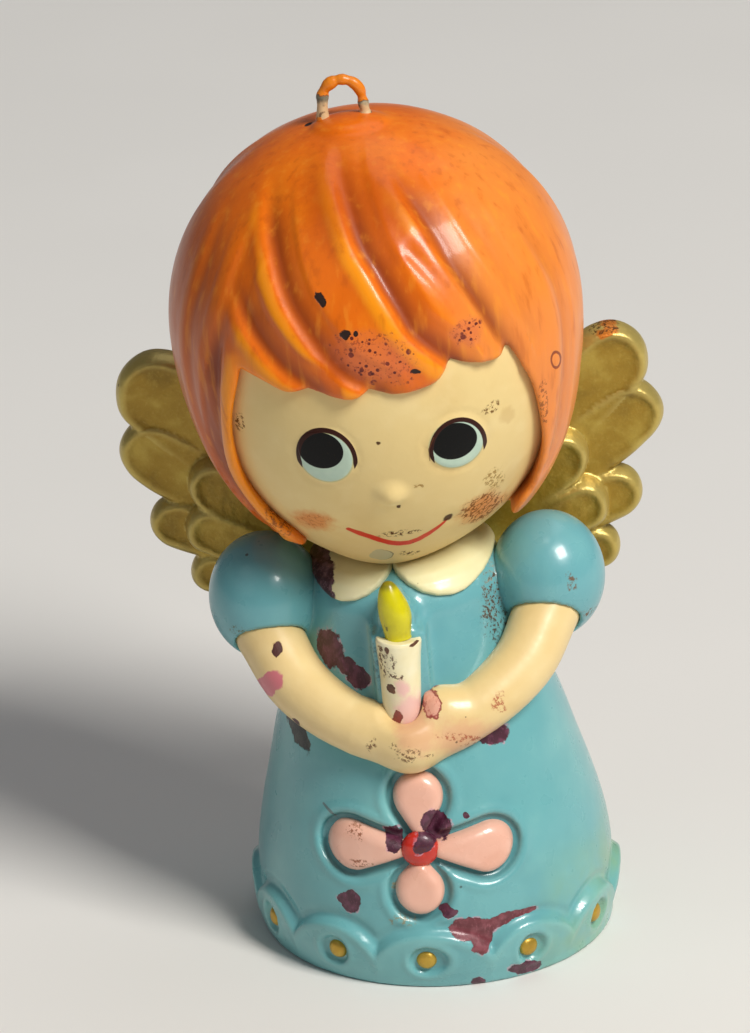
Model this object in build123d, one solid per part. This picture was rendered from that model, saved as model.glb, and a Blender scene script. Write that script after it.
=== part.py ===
from build123d import *
import os
from math import radians, sin, sqrt

os.makedirs("parts", exist_ok=True)

# Hanging angel ornament: a hollow moulded figure with painted relief and a wire hanging loop.
# Millimetres, +Z up, the figure faces -Y. "Left" is -X, the left side of someone facing it.
# The figure is drawn on its own upright axis, then leaned to the left and cut level at the base.
LEAN = 4.3
LEAN_SHIFT = 1.1

# Dress: (radius, height) down the outside, from below the table line to the foot of the neck.
DRESS_OUTLINE = [
    (18.5, -4.0),
    (19.0, 0.0),
    (19.9, 3.0),
    (20.2, 6.0),
    (19.9, 10.8),
    (18.9, 15.8),
    (17.6, 20.7),
    (16.3, 25.7),
    (14.9, 30.0),
    (13.3, 35.0),
    (11.9, 40.0),
    (11.2, 43.0),
    (9.4, 45.2),
    (5.0, 46.3),
]
SHOULDER_Z = 42.0
NECK_FOOT_Z = 46.3
DRESS_WALL = 2.6
NECK_RADIUS = 5.0
NECK_TOP_Z = 52.0

# Hem: a raised band with one scallop over each gold stud, all level with the table. The front
# ones are spaced by hand, given in degrees round from the front, and the back ones evenly.
HEM_FRONT_ANGLES = [-65.0, -34.0, -4.0, 30.0, 62.0]
HEM_BACK_REPEATS = 7
HEM_OUTLINE = [(19.0, -4.0), (19.8, 0.0), (20.7, 2.2), (20.9, 4.5), (20.8, 7.0), (20.6, 9.0)]
SCALLOP_RADIUS = 6.75
SCALLOP_Z = 0.7
STUD_Z = 3.7
STUD_RADIUS = 1.1
STUD_PROUD = 0.55
STUD_RECESS_RADIUS = 1.75
HEM_CENTRE_X = LEAN_SHIFT - STUD_Z * sin(radians(LEAN))

# Flower: four petals in a sunken moat round a domed bead, on the front of the skirt.
FLOWER_X = -0.85
FLOWER_Z = 16.8
FLOWER_SURFACE_Y = -18.7
FLOWER_TURN = 4.5
PETAL_PROUD = 0.45
MOAT_DEPTH = 0.8
MOAT_WIDTH = 1.0
PETAL_INNER_RADIUS = 1.1
PETAL_START = 2.4
# Each petal: direction in degrees, reach from the flower's centre and tip radius.
PETALS = {
    "right": (-4, 10.3, 2.75),
    "top": (90, 8.3, 2.8),
    "left": (184, 10.3, 2.75),
    "bottom": (270, 7.3, 2.75),
}
BEAD_RADIUS = 2.0
BEAD_DEPTH = 0.5

# Collar: two flat lobes with rounded front corners, lying on the shoulders.
COLLAR_THICKNESS = 0.9
COLLAR_INNER_RADIUS = 6.6
COLLAR_RADIUS = 11.3
COLLAR_MIDDLE_X = -0.5
COLLAR_FRONT_Y = -7.4
COLLAR_NOTCH_X = 3.4
COLLAR_CORNER = 2.4
COLLAR_BACK_X = 0.6

# Puffed sleeves and the wings behind them, both turned back towards level by the same angle.
SHOULDER_TURN = 2.5
SLEEVE_CENTRE = (16.0, -2.0, 42.0)
SLEEVE_RADII = (6.4, 6.8, 7.3)
SLEEVE_LEFT_SHIFT = (0.4, 0.0, -0.8)

# Forearms: centre line from inside the sleeve to the joined hands, with the radius at each place.
HANDS_X = -0.8
ARM_LINE = [(15.6, -5.4, 38.6), (12.4, -9.6, 34.0), (6.6, -13.4, 30.6), (0.0, -14.9, 28.9)]
ARM_DIRECTION = [(-0.35, -0.45, -0.82), (-0.66, -0.52, -0.54), (-0.88, -0.33, -0.34), (-1.0, 0.0, 0.0)]
ARM_RADIUS = [3.7, 3.5, 3.25, 3.7]

# Candle held in the hands, and the rib that joins it to the bodice.
CANDLE_X = -0.85
CANDLE_Y = -14.4
CANDLE_BOTTOM_Z = 29.5
CANDLE_TOP_Z = 41.0
CANDLE_BOTTOM_RADIUS = 2.05
CANDLE_TOP_RADIUS = 2.55
RIB_WIDTH = 6.0
RIB_TOP_Z = 42.2
RIB_CORNER = 2.7
FLAME_OUTLINE = [(1.4, 0.0), (1.8, 2.2), (1.4, 4.5), (0.4, 6.4)]
FLAME_TIP = 6.65

# Head: an egg, round above its centre and drawn out below, with a thicker cap of hair.
HEAD_Z = 73.9
HEAD_TURN = 2.4
FACE_RADIUS = 21.6
FACE_DROP = 28.0
HEAD_WALL = 2.8
HAIR_RADIUS = 23.0
HAIR_DROP = 29.4
HAIR_END_Z = 49.8
FACE_WINDOW_LEFT = [
    (-9.6, 44.0),
    (-11.2, 51.6),
    (-14.2, 55.4),
    (-16.0, 61.0),
    (-16.2, 68.0),
    (-14.2, 75.5),
    (-13.4, 78.0),
]
FACE_FRINGE = [(-7.7, 73.8), (-0.5, 72.6), (4.0, 72.8), (8.0, 74.4), (14.2, 75.6)]
FACE_WINDOW_RIGHT = [(16.8, 69.0), (16.8, 61.2), (15.2, 55.7), (12.6, 51.6), (11.0, 44.0)]
NOSE = (0.0, -18.2, 60.2)
NOSE_RADIUS = 1.3

# Eyes: a pupil let into a white, both thin inlays in the face.
INLAY_DEPTH = 0.3
EYE_SPACING = 7.2
EYE_Z = 64.8
EYE_HALF_WIDTH = 2.95
EYE_HALF_HEIGHT = 2.1
PUPIL_HALF_WIDTH = 2.2
PUPIL_HALF_HEIGHT = 1.95
PUPIL_SHIFT_X = -0.3
PUPIL_RISE = 0.9

# Wings: overlapping rounded feathers, each tapering from its tip circle to its root circle.
# Tip x, tip z, tip radius, root x, root z, root radius, and the layer: 0 behind, 1 in front.
FEATHERS = {
    "left": [
        (24.6, 59.4, 5.3, 13.0, 49.5, 6.0, 0),
        (26.3, 52.4, 4.2, 14.0, 44.0, 5.0, 0),
        (24.6, 43.8, 3.3, 13.0, 40.0, 4.0, 0),
        (20.9, 37.6, 2.8, 12.0, 37.0, 3.0, 0),
        (19.3, 49.0, 3.6, 9.0, 43.5, 4.5, 1),
        (20.4, 43.8, 3.2, 9.5, 39.0, 3.5, 1),
    ],
    "right": [
        (25.4, 60.7, 4.6, 13.0, 50.0, 6.0, 0),
        (27.2, 54.2, 4.2, 14.0, 45.0, 5.0, 0),
        (25.2, 44.7, 3.4, 13.0, 41.0, 4.0, 0),
        (22.9, 38.3, 2.9, 12.0, 37.5, 3.0, 0),
        (18.8, 50.3, 3.6, 9.0, 44.5, 4.5, 1),
        (21.2, 44.4, 3.3, 9.5, 40.0, 3.5, 1),
    ],
}
WING_HINGE_X = 13.0
FEATHER_THICKNESS = 3.2
FEATHER_EDGE = 1.0
WING_LAYER_Y = (12.4, 10.6)
WING_SWEEP = 8.0
WING_SHIFT_X = -1.2

# Hanging loop: bent wire let through the crown, its ends turned out inside the head.
WIRE_RADIUS = 0.55
LOOP_X = -1.1
LOOP_HALF_WIDTH = 2.25
LOOP_ARCH_Z = 98.85
LOOP_FOOT_Z = 91.0
LOOP_FOOT_LENGTH = 2.0
LOOP_BEND = 0.9
WIRE_DRILL_DEPTH = 8.0

# Longer than any piece, for cutting through, and a turn that keeps seams off the features.
REACH = 60.0
SEAM_TURN = 100.0
SIDES = {"left": -1, "right": 1}


def save(shape, name):
    export_step(shape, f"parts/{name}.step")


def lean(shape):
    """Figure's upright axis to its place on the table."""
    return Pos(LEAN_SHIFT, 0, 0) * Rot(0, -LEAN, 0) * shape


def above_table(shape):
    """Cuts a leaned piece level with the table."""
    return shape - Pos(0, 0, -REACH / 2) * Box(2 * REACH, 2 * REACH, REACH)


def turn_shoulders(shape):
    """Turns a sleeve or wing about the chest towards level."""
    return Pos(0, 0, SHOULDER_Z) * Rot(0, SHOULDER_TURN, 0) * Pos(0, 0, -SHOULDER_Z) * shape


def turn_head(shape):
    return Rot(0, 0, HEAD_TURN) * shape


def spun(points):
    """Solid of revolution about Z under a smooth outline given as (radius, height)."""
    bottom = points[0][1]
    top = points[-1][1]
    side = Spline(*[(radius, 0, height) for radius, height in points])
    ends = Polyline((*side.position_at(1),), (0, 0, top), (0, 0, bottom), (*side.position_at(0),))
    return Rot(0, 0, SEAM_TURN) * revolve(make_face([side, *ends.edges()]), Axis.Z)


def dress_solid(grow=0.0):
    """The dress without its neck, as a full solid grown outwards by grow."""
    points = []
    for radius, height in DRESS_OUTLINE:
        up = max(0.0, (height - SHOULDER_Z) / (NECK_FOOT_Z - SHOULDER_Z))
        points.append((radius + grow * (1 - up), height + grow * up))
    return spun(points)


def quarter_ellipse(start, corner, end):
    return Bezier(start, corner, end, weights=[1, sqrt(0.5), 1])


def egg(radius, drop):
    """Half sphere above the head's centre, drawn out by drop below it."""
    side = (radius, 0, 0)
    upper = quarter_ellipse(side, (radius, 0, radius), (0, 0, radius))
    lower = quarter_ellipse((0, 0, -drop), (radius, 0, -drop), side)
    axis = Line((0, 0, radius), (0, 0, -drop))
    half = make_face([upper, lower, axis])
    return Pos(0, 0, HEAD_Z) * Rot(0, 0, SEAM_TURN) * revolve(half, Axis.Z)


def front_prism(outline):
    """Pushes an outline drawn in x and z through the front half of the figure."""
    return extrude(Plane.XZ * outline, REACH, dir=(0, -1, 0))


def hull_of(first, second):
    """Outline round two circles, each given as (x, z, radius)."""
    rings = [Edge.make_circle(radius, Plane((x, z, 0))) for x, z, radius in (first, second)]
    return make_hull(rings)


def closed_outline(*runs):
    """Face inside smooth runs of points, each run starting where the one before ended."""
    edges = []
    for index, run in enumerate(runs):
        following = runs[(index + 1) % len(runs)]
        edges.append(Spline(*run, following[0]))
    return make_face(edges)


# --- dress, hem, studs and flower ---


def candle_solid():
    height = CANDLE_TOP_Z - CANDLE_BOTTOM_Z
    stick = Cone(CANDLE_BOTTOM_RADIUS, CANDLE_TOP_RADIUS, height)
    return Pos(CANDLE_X, CANDLE_Y, CANDLE_BOTTOM_Z + height / 2) * stick


def flame_solid():
    tip = (0.0, FLAME_TIP)
    side = Spline(*FLAME_OUTLINE, tip)
    base = Polyline(tip, (0.0, 0.0), FLAME_OUTLINE[0])
    flame = revolve(Plane.XZ * make_face([side, *base.edges()]), Axis.Z)
    return Pos(CANDLE_X, CANDLE_Y, CANDLE_TOP_Z) * flame


def candle_rib():
    """Rib from the bodice to the back of the candle, with a rounded top."""
    depth = abs(CANDLE_Y)
    rise = RIB_TOP_Z - CANDLE_BOTTOM_Z
    block = Pos(CANDLE_X, CANDLE_Y + depth / 2, RIB_TOP_Z - rise / 2) * Box(RIB_WIDTH, depth, rise)
    return fillet(block.edges().filter_by(Axis.Y).group_by(Axis.Z)[-1], RIB_CORNER)


def place_on_skirt(shape):
    """Moves a flat outline drawn about the flower's centre onto the front of the skirt."""
    return Pos(FLOWER_X, 0, FLOWER_Z) * Rot(0, FLOWER_TURN, 0) * front_prism(shape)


def petal_prism(name, grow=0.0):
    direction, length, radius = PETALS[name]
    outer = (length - radius, 0, radius + grow)
    inner = (PETAL_START, 0, PETAL_INNER_RADIUS + grow)
    return place_on_skirt(Rot(0, 0, direction) * hull_of(inner, outer))


def moat():
    """The sunken ground that the petals stand in."""
    prisms = [petal_prism(name, MOAT_WIDTH) for name in PETALS]
    prisms.append(place_on_skirt(Circle(BEAD_RADIUS + MOAT_WIDTH)))
    ground = prisms[0].fuse(*prisms[1:])
    return ground - dress_solid(-MOAT_DEPTH)


def bead_ball():
    """The bead as a whole ball, its poles turned off the petals."""
    centre_y = FLOWER_SURFACE_Y + BEAD_DEPTH
    return Pos(FLOWER_X, centre_y, FLOWER_Z) * Rot(90, 0, 0) * Sphere(BEAD_RADIUS)


def bead():
    return bead_ball() - dress_solid(-MOAT_DEPTH)


def petal(name):
    raised = petal_prism(name) & dress_solid(PETAL_PROUD)
    return raised - dress_solid(-MOAT_DEPTH) - bead_ball()


def dress():
    """Hollow dress, open below, with its neck, the candle's rib and the flower's moat."""
    outside = dress_solid() + candle_rib()
    cavity = dress_solid(-DRESS_WALL)
    neck_height = NECK_TOP_Z - SHOULDER_Z
    neck = Pos(0, 0, SHOULDER_Z + neck_height / 2) * Cylinder(NECK_RADIUS, neck_height)
    shell = outside - cavity + (neck - cavity)
    return above_table(lean(shell - moat() - candle_solid() - flame_solid()))


def round_hem(shape):
    """Copies of a shape made for the front, one for each scallop round the level hem."""
    first, last = HEM_FRONT_ANGLES[0], HEM_FRONT_ANGLES[-1]
    gap = (360 + first - last) / (HEM_BACK_REPEATS + 1)
    back = [last + gap * (index + 1) for index in range(HEM_BACK_REPEATS)]
    centre = Pos(HEM_CENTRE_X, 0, 0)
    return [centre * Rot(0, 0, angle) * shape for angle in HEM_FRONT_ANGLES + back]


def hem_band():
    """Scalloped band on the dress, with a round recess through it at each stud."""
    ring = lean(spun(HEM_OUTLINE) - dress_solid())
    scallop = Pos(0, 0, SCALLOP_Z) * front_prism(Circle(SCALLOP_RADIUS))
    scallops = round_hem(scallop)
    band = ring & scallops[0].fuse(*scallops[1:])
    recess = Pos(0, 0, STUD_Z) * front_prism(Circle(STUD_RECESS_RADIUS))
    for hole in round_hem(recess):
        band -= hole
    return above_table(band)


def hem_studs():
    """Domed studs standing on the dress in the hem's recesses."""
    stud = Pos(0, 0, STUD_Z) * front_prism(Circle(STUD_RADIUS))
    stud &= spun([(radius + STUD_PROUD, height) for radius, height in DRESS_OUTLINE[:6]])
    inside = lean(dress_solid())
    return Compound(children=[(copy - inside).solids()[0] for copy in round_hem(stud)])


# --- collar, sleeves and forearms ---


def collar(side):
    """One lobe of the collar, mirrored to the side it lies on."""
    outer = 2 * COLLAR_RADIUS
    notch_end = (COLLAR_NOTCH_X * (outer + COLLAR_FRONT_Y) / (COLLAR_RADIUS + COLLAR_FRONT_Y), -outer)
    corners = [(0, COLLAR_FRONT_Y), notch_end, (outer, -outer), (outer, outer), (COLLAR_BACK_X, outer)]
    half = Pos(side * COLLAR_MIDDLE_X, 0) * Polygon(*corners, (COLLAR_BACK_X, 0), (0, 0), align=None)
    lobe = half & Circle(COLLAR_RADIUS)
    front_corner = lobe.vertices().sort_by(Axis.Y)[0]
    lobe = extrude(fillet(front_corner, COLLAR_CORNER), REACH)
    if side < 0:
        lobe = mirror(lobe, Plane.YZ)
    opening = Cylinder(COLLAR_INNER_RADIUS, 2 * REACH)
    return (dress_solid(COLLAR_THICKNESS) - dress_solid() - opening) & lobe


def forearm(side):
    """Tapered arm from inside the sleeve to the hands, which meet on the figure's middle line."""
    sections = []
    for place, direction, radius in zip(ARM_LINE, ARM_DIRECTION, ARM_RADIUS):
        towards_hands = 1 - place[0] / ARM_LINE[0][0]
        origin = (side * place[0] + HANDS_X * towards_hands, place[1], place[2])
        normal = (side * direction[0], direction[1], direction[2])
        sections.append(Plane(origin, x_dir=(0, -0.5, 1), z_dir=normal) * Circle(radius))
    return loft(sections) - dress_solid() - candle_rib() - candle_solid()


def sleeve(side):
    """Puffed sleeve, hollowed where the forearm enters it."""
    puff = Pos(*SLEEVE_CENTRE) * scale(Sphere(1), SLEEVE_RADII)
    if side < 0:
        puff = Pos(*SLEEVE_LEFT_SHIFT) * mirror(puff, Plane.YZ)
    return turn_shoulders(puff) - dress_solid() - forearm(side) - collar(side)


# --- head, hair and eyes ---


def neck_hole():
    return Pos(0, 0, HEAD_Z - FACE_DROP) * Cylinder(NECK_RADIUS, 2 * (NECK_TOP_Z + FACE_DROP - HEAD_Z))


def eye_prism(side, half_width, half_height, shift_x=0.0, rise=0.0):
    outline = Pos(side * EYE_SPACING + shift_x, EYE_Z + rise) * Ellipse(half_width, half_height)
    inlay = front_prism(outline) & egg(FACE_RADIUS, FACE_DROP)
    return inlay - egg(FACE_RADIUS - INLAY_DEPTH, FACE_DROP - INLAY_DEPTH)


def pupil(side):
    return eye_prism(side, PUPIL_HALF_WIDTH, PUPIL_HALF_HEIGHT, PUPIL_SHIFT_X, PUPIL_RISE)


def eye_white(side):
    return eye_prism(side, EYE_HALF_WIDTH, EYE_HALF_HEIGHT) - pupil(side)


def head():
    """Hollow head with a small nose, a socket for the neck and seats for the eyes."""
    face = egg(FACE_RADIUS, FACE_DROP) + Pos(*NOSE) * Sphere(NOSE_RADIUS)
    shell = face - egg(FACE_RADIUS - HEAD_WALL, FACE_DROP - HEAD_WALL) - neck_hole()
    for side in SIDES.values():
        shell = shell - pupil(side) - eye_white(side)
    return shell


def hair():
    """Cap of hair round the head, open at the face and ending at the nape."""
    window = closed_outline(FACE_WINDOW_LEFT, FACE_FRINGE, FACE_WINDOW_RIGHT)
    below = Pos(0, 0, HAIR_END_Z - REACH / 2) * Box(2 * REACH, 2 * REACH, REACH)
    return egg(HAIR_RADIUS, HAIR_DROP) - egg(FACE_RADIUS, FACE_DROP) - front_prism(window) - below


# --- wings ---


def feather(tip_x, tip_z, tip_radius, root_x, root_z, root_radius, layer):
    """One rounded feather, its long edges softened on both faces."""
    flat = hull_of((tip_x, tip_z, tip_radius), (root_x, root_z, root_radius))
    slab = extrude(Plane.XZ * flat, FEATHER_THICKNESS / 2, both=True)
    slab = fillet(slab.faces().filter_by(Axis.Y).edges(), FEATHER_EDGE)
    return Pos(0, WING_LAYER_Y[layer], 0) * slab


def wing(name, side):
    """Six overlapping feathers, swept back and cut to the dress and the hair."""
    feathers = [feather(*numbers) for numbers in FEATHERS[name]]
    spread = feathers[0].fuse(*feathers[1:])
    hinge = Pos(WING_HINGE_X, WING_LAYER_Y[0], 0)
    spread = hinge * Rot(0, 0, WING_SWEEP) * hinge.inverse() * spread
    if side < 0:
        spread = mirror(spread, Plane.YZ)
    spread = turn_shoulders(Pos(WING_SHIFT_X, 0, 0) * spread)
    return spread - dress_solid() - collar(side) - egg(HAIR_RADIUS, HAIR_DROP)


# --- hanging loop ---


def hanging_loop():
    """Bent wire: two feet inside the head, two legs through the crown, and the arch."""
    half = LOOP_HALF_WIDTH
    foot_end = half + LOOP_FOOT_LENGTH
    corners = [(foot_end, 0, LOOP_FOOT_Z), (half, 0, LOOP_FOOT_Z), (half, 0, LOOP_ARCH_Z)]
    leg = FilletPolyline(*corners, radius=LOOP_BEND)
    arch = Pos(0, 0, LOOP_ARCH_Z) * (Plane.XZ * CenterArc((0, 0), half, 0, 180))
    path = Wire([*leg.edges(), *arch.edges(), *mirror(leg, Plane.YZ).edges()])
    start = Plane((foot_end, 0, LOOP_FOOT_Z), z_dir=(-1, 0, 0))
    return Pos(LOOP_X, 0, 0) * sweep(start * Circle(WIRE_RADIUS), path)


def wire_holes(shape):
    """Drills a shell of the head for the loop's two legs."""
    for side in SIDES.values():
        drill = Cylinder(WIRE_RADIUS, 2 * WIRE_DRILL_DEPTH)
        shape -= Pos(LOOP_X + side * LOOP_HALF_WIDTH, 0, LOOP_ARCH_Z) * drill
    return shape


save(dress(), "dress_shell")
save(hem_band(), "hem_scallop_band")
save(hem_studs(), "hem_studs")
for name in PETALS:
    save(lean(petal(name)), f"flower_petal_{name}")
save(lean(bead()), "flower_centre_bead")
save(lean(candle_solid()), "candle_stick")
save(lean(flame_solid()), "candle_flame")
for name, side in SIDES.items():
    save(lean(collar(side)), f"collar_{name}")
    save(lean(sleeve(side)), f"sleeve_{name}")
    save(lean(forearm(side)), f"forearm_{name}")
    save(lean(turn_head(pupil(side))), f"pupil_{name}")
    save(lean(turn_head(eye_white(side))), f"eye_white_{name}")
    save(lean(wing(name, side)), f"wing_{name}")
save(lean(wire_holes(turn_head(head()))), "head_shell")
save(lean(wire_holes(turn_head(hair()))), "hair_cap")
save(lean(hanging_loop()), "hanging_loop")
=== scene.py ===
import math

import bpy
import numpy as np
from mathutils import Matrix, Vector


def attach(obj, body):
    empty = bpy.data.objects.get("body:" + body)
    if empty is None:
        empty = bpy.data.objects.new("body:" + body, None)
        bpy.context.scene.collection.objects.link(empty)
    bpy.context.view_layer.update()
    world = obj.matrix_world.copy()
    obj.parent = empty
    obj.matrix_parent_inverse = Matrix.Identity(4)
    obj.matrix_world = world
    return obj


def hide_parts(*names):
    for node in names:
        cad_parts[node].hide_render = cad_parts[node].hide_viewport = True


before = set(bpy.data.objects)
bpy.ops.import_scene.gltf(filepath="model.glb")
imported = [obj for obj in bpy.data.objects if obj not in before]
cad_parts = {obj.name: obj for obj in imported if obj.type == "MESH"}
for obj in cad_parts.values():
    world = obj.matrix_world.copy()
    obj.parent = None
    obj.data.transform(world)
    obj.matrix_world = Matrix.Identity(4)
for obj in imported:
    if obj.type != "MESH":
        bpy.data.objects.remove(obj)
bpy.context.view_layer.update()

# Looks of the hanging angel ornament. Shapes are worked out in millimetres on the figure's own
# upright axes: x to the viewer's right, y away from the viewer, z up. leaned() puts them in place.
# A shape is a function of points that is negative inside it, and solid() turns it into a mesh.
LEAN = math.radians(4.3)
LEAN_SHIFT = 1.1
SIDES = {"left": -1, "right": 1}
COARSE = 1.0
# Lattice cells along a block, and how far from a block's middle, in blocks, the surface is looked for.
BLOCK, BLOCK_REACH = 4, 1.15


def leaned(points):
    """From the figure's upright axes to the row's, both in millimetres."""
    x = points[:, 0] * math.cos(LEAN) - points[:, 2] * math.sin(LEAN) + LEAN_SHIFT
    z = points[:, 0] * math.sin(LEAN) + points[:, 2] * math.cos(LEAN)
    return np.stack([x, points[:, 1], z], 1)


def upright(points):
    """Undoes leaned()."""
    x, z = points[:, 0] - LEAN_SHIFT, points[:, 2]
    c, s = math.cos(LEAN), math.sin(LEAN)
    return np.stack([x * c + z * s, points[:, 1], z * c - x * s], 1)


# --- shapes as distances ---


def ramp(low, high, value):
    """Smooth step from 0 at low to 1 at high. High may be below low."""
    share = np.clip((value - low) / (high - low), 0.0, 1.0)
    return share * share * (3 - 2 * share)


def bump(value, width):
    """Bell curve, 1 where value is 0."""
    return np.exp(-((value / width) ** 2))


def joined(first, second, blend):
    """Union of two shapes, with a fillet."""
    near = np.maximum(blend - np.abs(first - second), 0.0)
    return np.minimum(first, second) - near * near / (4 * blend)


def common(first, second, blend):
    """What two shapes share, with a rounded edge."""
    return -joined(-first, -second, blend)


def trimmed(first, second, radius):
    """What two shapes share, with an edge of a set radius that takes nothing from the flats."""
    first, second = first + radius, second + radius
    corner = np.hypot(np.maximum(first, 0), np.maximum(second, 0))
    return np.minimum(np.maximum(first, second), 0) + corner - radius


def ball(points, centre, radii):
    """Ellipsoid."""
    radii = np.broadcast_to(np.array(radii, float), (3,))
    scaled = (points - np.array(centre, float)) / radii
    length = np.linalg.norm(scaled, axis=1)
    slope = np.linalg.norm(scaled / radii, axis=1)
    return np.where(length < 1e-6, -radii.min(), length * (length - 1) / np.maximum(slope, 1e-9))


def smooth_line(points, steps):
    """Points along a smooth line through the given ones."""
    given = np.array(points, float)
    padded = np.vstack([2 * given[0] - given[1], given, 2 * given[-1] - given[-2]])
    places = []
    for a, b, c, d in zip(padded, padded[1:], padded[2:], padded[3:]):
        for share in np.arange(steps) / steps:
            bend = (2 * a - 5 * b + 4 * c - d) * share**2 + (3 * b - a - 3 * c + d) * share**3
            places.append(0.5 * (2 * b + (c - a) * share + bend))
    return np.array([*places, given[-1]])


def tube(points, line, radii):
    """Round bar along a line, with its radius at each of the line's points."""
    best = np.full(len(points), np.inf)
    for start, end, first, last in zip(line, line[1:], radii, radii[1:]):
        run = end - start
        offset = points - start
        share = np.clip(offset @ run / (run @ run), 0.0, 1.0)
        gap = np.linalg.norm(offset - share[:, None] * run, axis=1)
        best = np.minimum(best, gap - first - (last - first) * share)
    return best


def outline_distance(x, z, outline):
    """Distance to a closed flat outline, negative inside."""
    best = np.full(len(x), np.inf)
    inside = np.zeros(len(x), bool)
    corners = np.array(outline, float)
    for (x0, z0), (x1, z1) in zip(corners, np.roll(corners, -1, axis=0)):
        run_x, run_z = x1 - x0, z1 - z0
        size = run_x * run_x + run_z * run_z
        if size < 1e-12:
            continue
        share = np.clip(((x - x0) * run_x + (z - z0) * run_z) / size, 0.0, 1.0)
        best = np.minimum(best, np.hypot(x - x0 - share * run_x, z - z0 - share * run_z))
        if abs(run_z) > 1e-9:
            inside ^= ((z0 > z) != (z1 > z)) & (x < x0 + (z - z0) * run_x / run_z)
    return np.where(inside, -best, best)


def drop(x, z, first, last, length):
    """Flat outline round two circles: one at the origin and one at length along x."""
    lean = (first - last) / length
    side = math.sqrt(1 - lean * lean)
    z = np.abs(z)
    along = x * side - z * lean
    middle = z * side + x * lean - first
    return np.where(
        along < 0,
        np.hypot(x, z) - first,
        np.where(along > side * length, np.hypot(x - length, z) - last, middle),
    )


# --- shapes to meshes ---


def lattice(low, counts, pitch):
    """Middles of the cells of a box that starts at low."""
    axes = [start + pitch * (np.arange(count) + 0.5) for start, count in zip(low, counts)]
    return np.stack(np.meshgrid(*axes, indexing="ij"), -1)


def surface_net(values, low, cell):
    """Vertices and quads of the zero surface of values on a regular lattice."""
    cells = np.array(values.shape) - 1
    found, corners, places = [], [], []
    for axis in range(3):
        u, v = (axis + 1) % 3, (axis + 2) % 3
        first = np.take(values, range(values.shape[axis] - 1), axis)
        second = np.take(values, range(1, values.shape[axis]), axis)
        crossing = np.argwhere((first < 0) != (second < 0))
        inner = (crossing[:, [u, v]] > 0).all(1) & (crossing[:, [u, v]] < cells[[u, v]]).all(1)
        crossing = crossing[inner]
        before = first[tuple(crossing.T)]
        after = second[tuple(crossing.T)]
        place = crossing.astype(float)
        place[:, axis] += before / (before - after)
        quad = []
        for du, dv in ((0, 0), (1, 0), (1, 1), (0, 1)):
            cell_at = crossing.copy()
            cell_at[:, u] -= du
            cell_at[:, v] -= dv
            quad.append(np.ravel_multi_index(cell_at.T, cells))
        quad = np.stack(quad, 1)
        corners.append(quad.ravel())
        places.append(np.repeat(place, 4, axis=0))
        found.append(np.where((before < 0)[:, None], quad, quad[:, ::-1]))
    quads = np.concatenate(found)
    used, index = np.unique(np.concatenate(corners), return_inverse=True)
    places = np.concatenate(places)
    count = np.bincount(index)
    vertices = np.stack([np.bincount(index, places[:, k]) / count for k in range(3)], 1)
    vertices = np.array(low) + cell * (vertices + 0.5)
    return vertices, np.searchsorted(used, quads)


def settle(shape, points, reach):
    """Moves points onto the shape's surface."""
    tiny = 0.02
    for _ in range(2):
        here = shape(points)
        slopes = [(shape(points + tiny * step) - here) / tiny for step in np.eye(3)]
        slope = np.stack(slopes, 1)
        size = np.maximum((slope**2).sum(1), 0.25)
        move = np.clip(here / size, -reach, reach)
        points = points - move[:, None] * slope
    return points


def solid(shape, low, high, cell):
    """Vertices and quads of a shape inside a box, at about cell apart."""
    cell *= COARSE
    counts = [math.ceil((top - bottom) / (cell * BLOCK)) for bottom, top in zip(low, high)]
    middles = lattice(low, counts, cell * BLOCK)
    coarse = shape(middles.reshape(-1, 3)).reshape(counts)
    near = np.abs(coarse) < cell * BLOCK * BLOCK_REACH
    values, mask = coarse, near
    for axis in range(3):
        values = np.repeat(values, BLOCK, axis)
        mask = np.repeat(mask, BLOCK, axis)
    points = lattice(low, values.shape, cell)[mask]
    values[mask] = shape(points)
    vertices, quads = surface_net(values, low, cell)
    return settle(shape, vertices, cell * 0.6), quads


def revolved(profile, columns, rows):
    """Vertices and quads of a closed form of revolution about z. The profile runs from pole to pole."""
    line = smooth_line(profile, rows)
    angles = np.linspace(0, 2 * np.pi, columns, endpoint=False)
    rings = np.stack(
        [
            np.outer(line[:, 0], np.cos(angles)),
            np.outer(line[:, 0], np.sin(angles)),
            np.repeat(line[:, 1][:, None], columns, 1),
        ],
        -1,
    )
    index = np.arange(len(line) * columns).reshape(len(line), columns)
    after = np.roll(index, -1, 1)
    quads = np.stack([index[:-1], after[:-1], after[1:], index[1:]], -1).reshape(-1, 4)
    return rings.reshape(-1, 3), quads


def piece(name, mesh_data, material, slot, nodes, **shades):
    """Makes a shown piece that stands for CAD nodes. Shades are values at each vertex for its paint."""
    vertices, quads = mesh_data
    mesh = bpy.data.meshes.new(name)
    mesh.from_pydata((leaned(vertices) * 0.001).tolist(), [], quads.tolist())
    mesh.polygons.foreach_set("use_smooth", [True] * len(mesh.polygons))
    mesh.materials.append(material)
    for key, values in shades.items():
        layer = mesh.attributes.new(key, "FLOAT", "POINT")
        layer.data.foreach_set("value", values.astype(np.float32))
    made = bpy.data.objects.new(name, mesh)
    bpy.context.scene.collection.objects.link(made)
    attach(made, "root")
    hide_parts(*nodes)
    return made


# --- paint ---


MAROON = (68, 20, 42)
SCRATCHED = (136, 74, 102)
BARE_PINK = (206, 150, 168)
GRIME = (108, 68, 26)
EVEN = (1.0, 1.0, 1.0)


def linear(colour):
    """Linear colour of an 8-bit sRGB one. A Term is given back as it is."""
    if isinstance(colour, Term):
        return colour
    return tuple(((c / 255 + 0.055) / 1.055) ** 2.4 for c in colour) + (1.0,)


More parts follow.
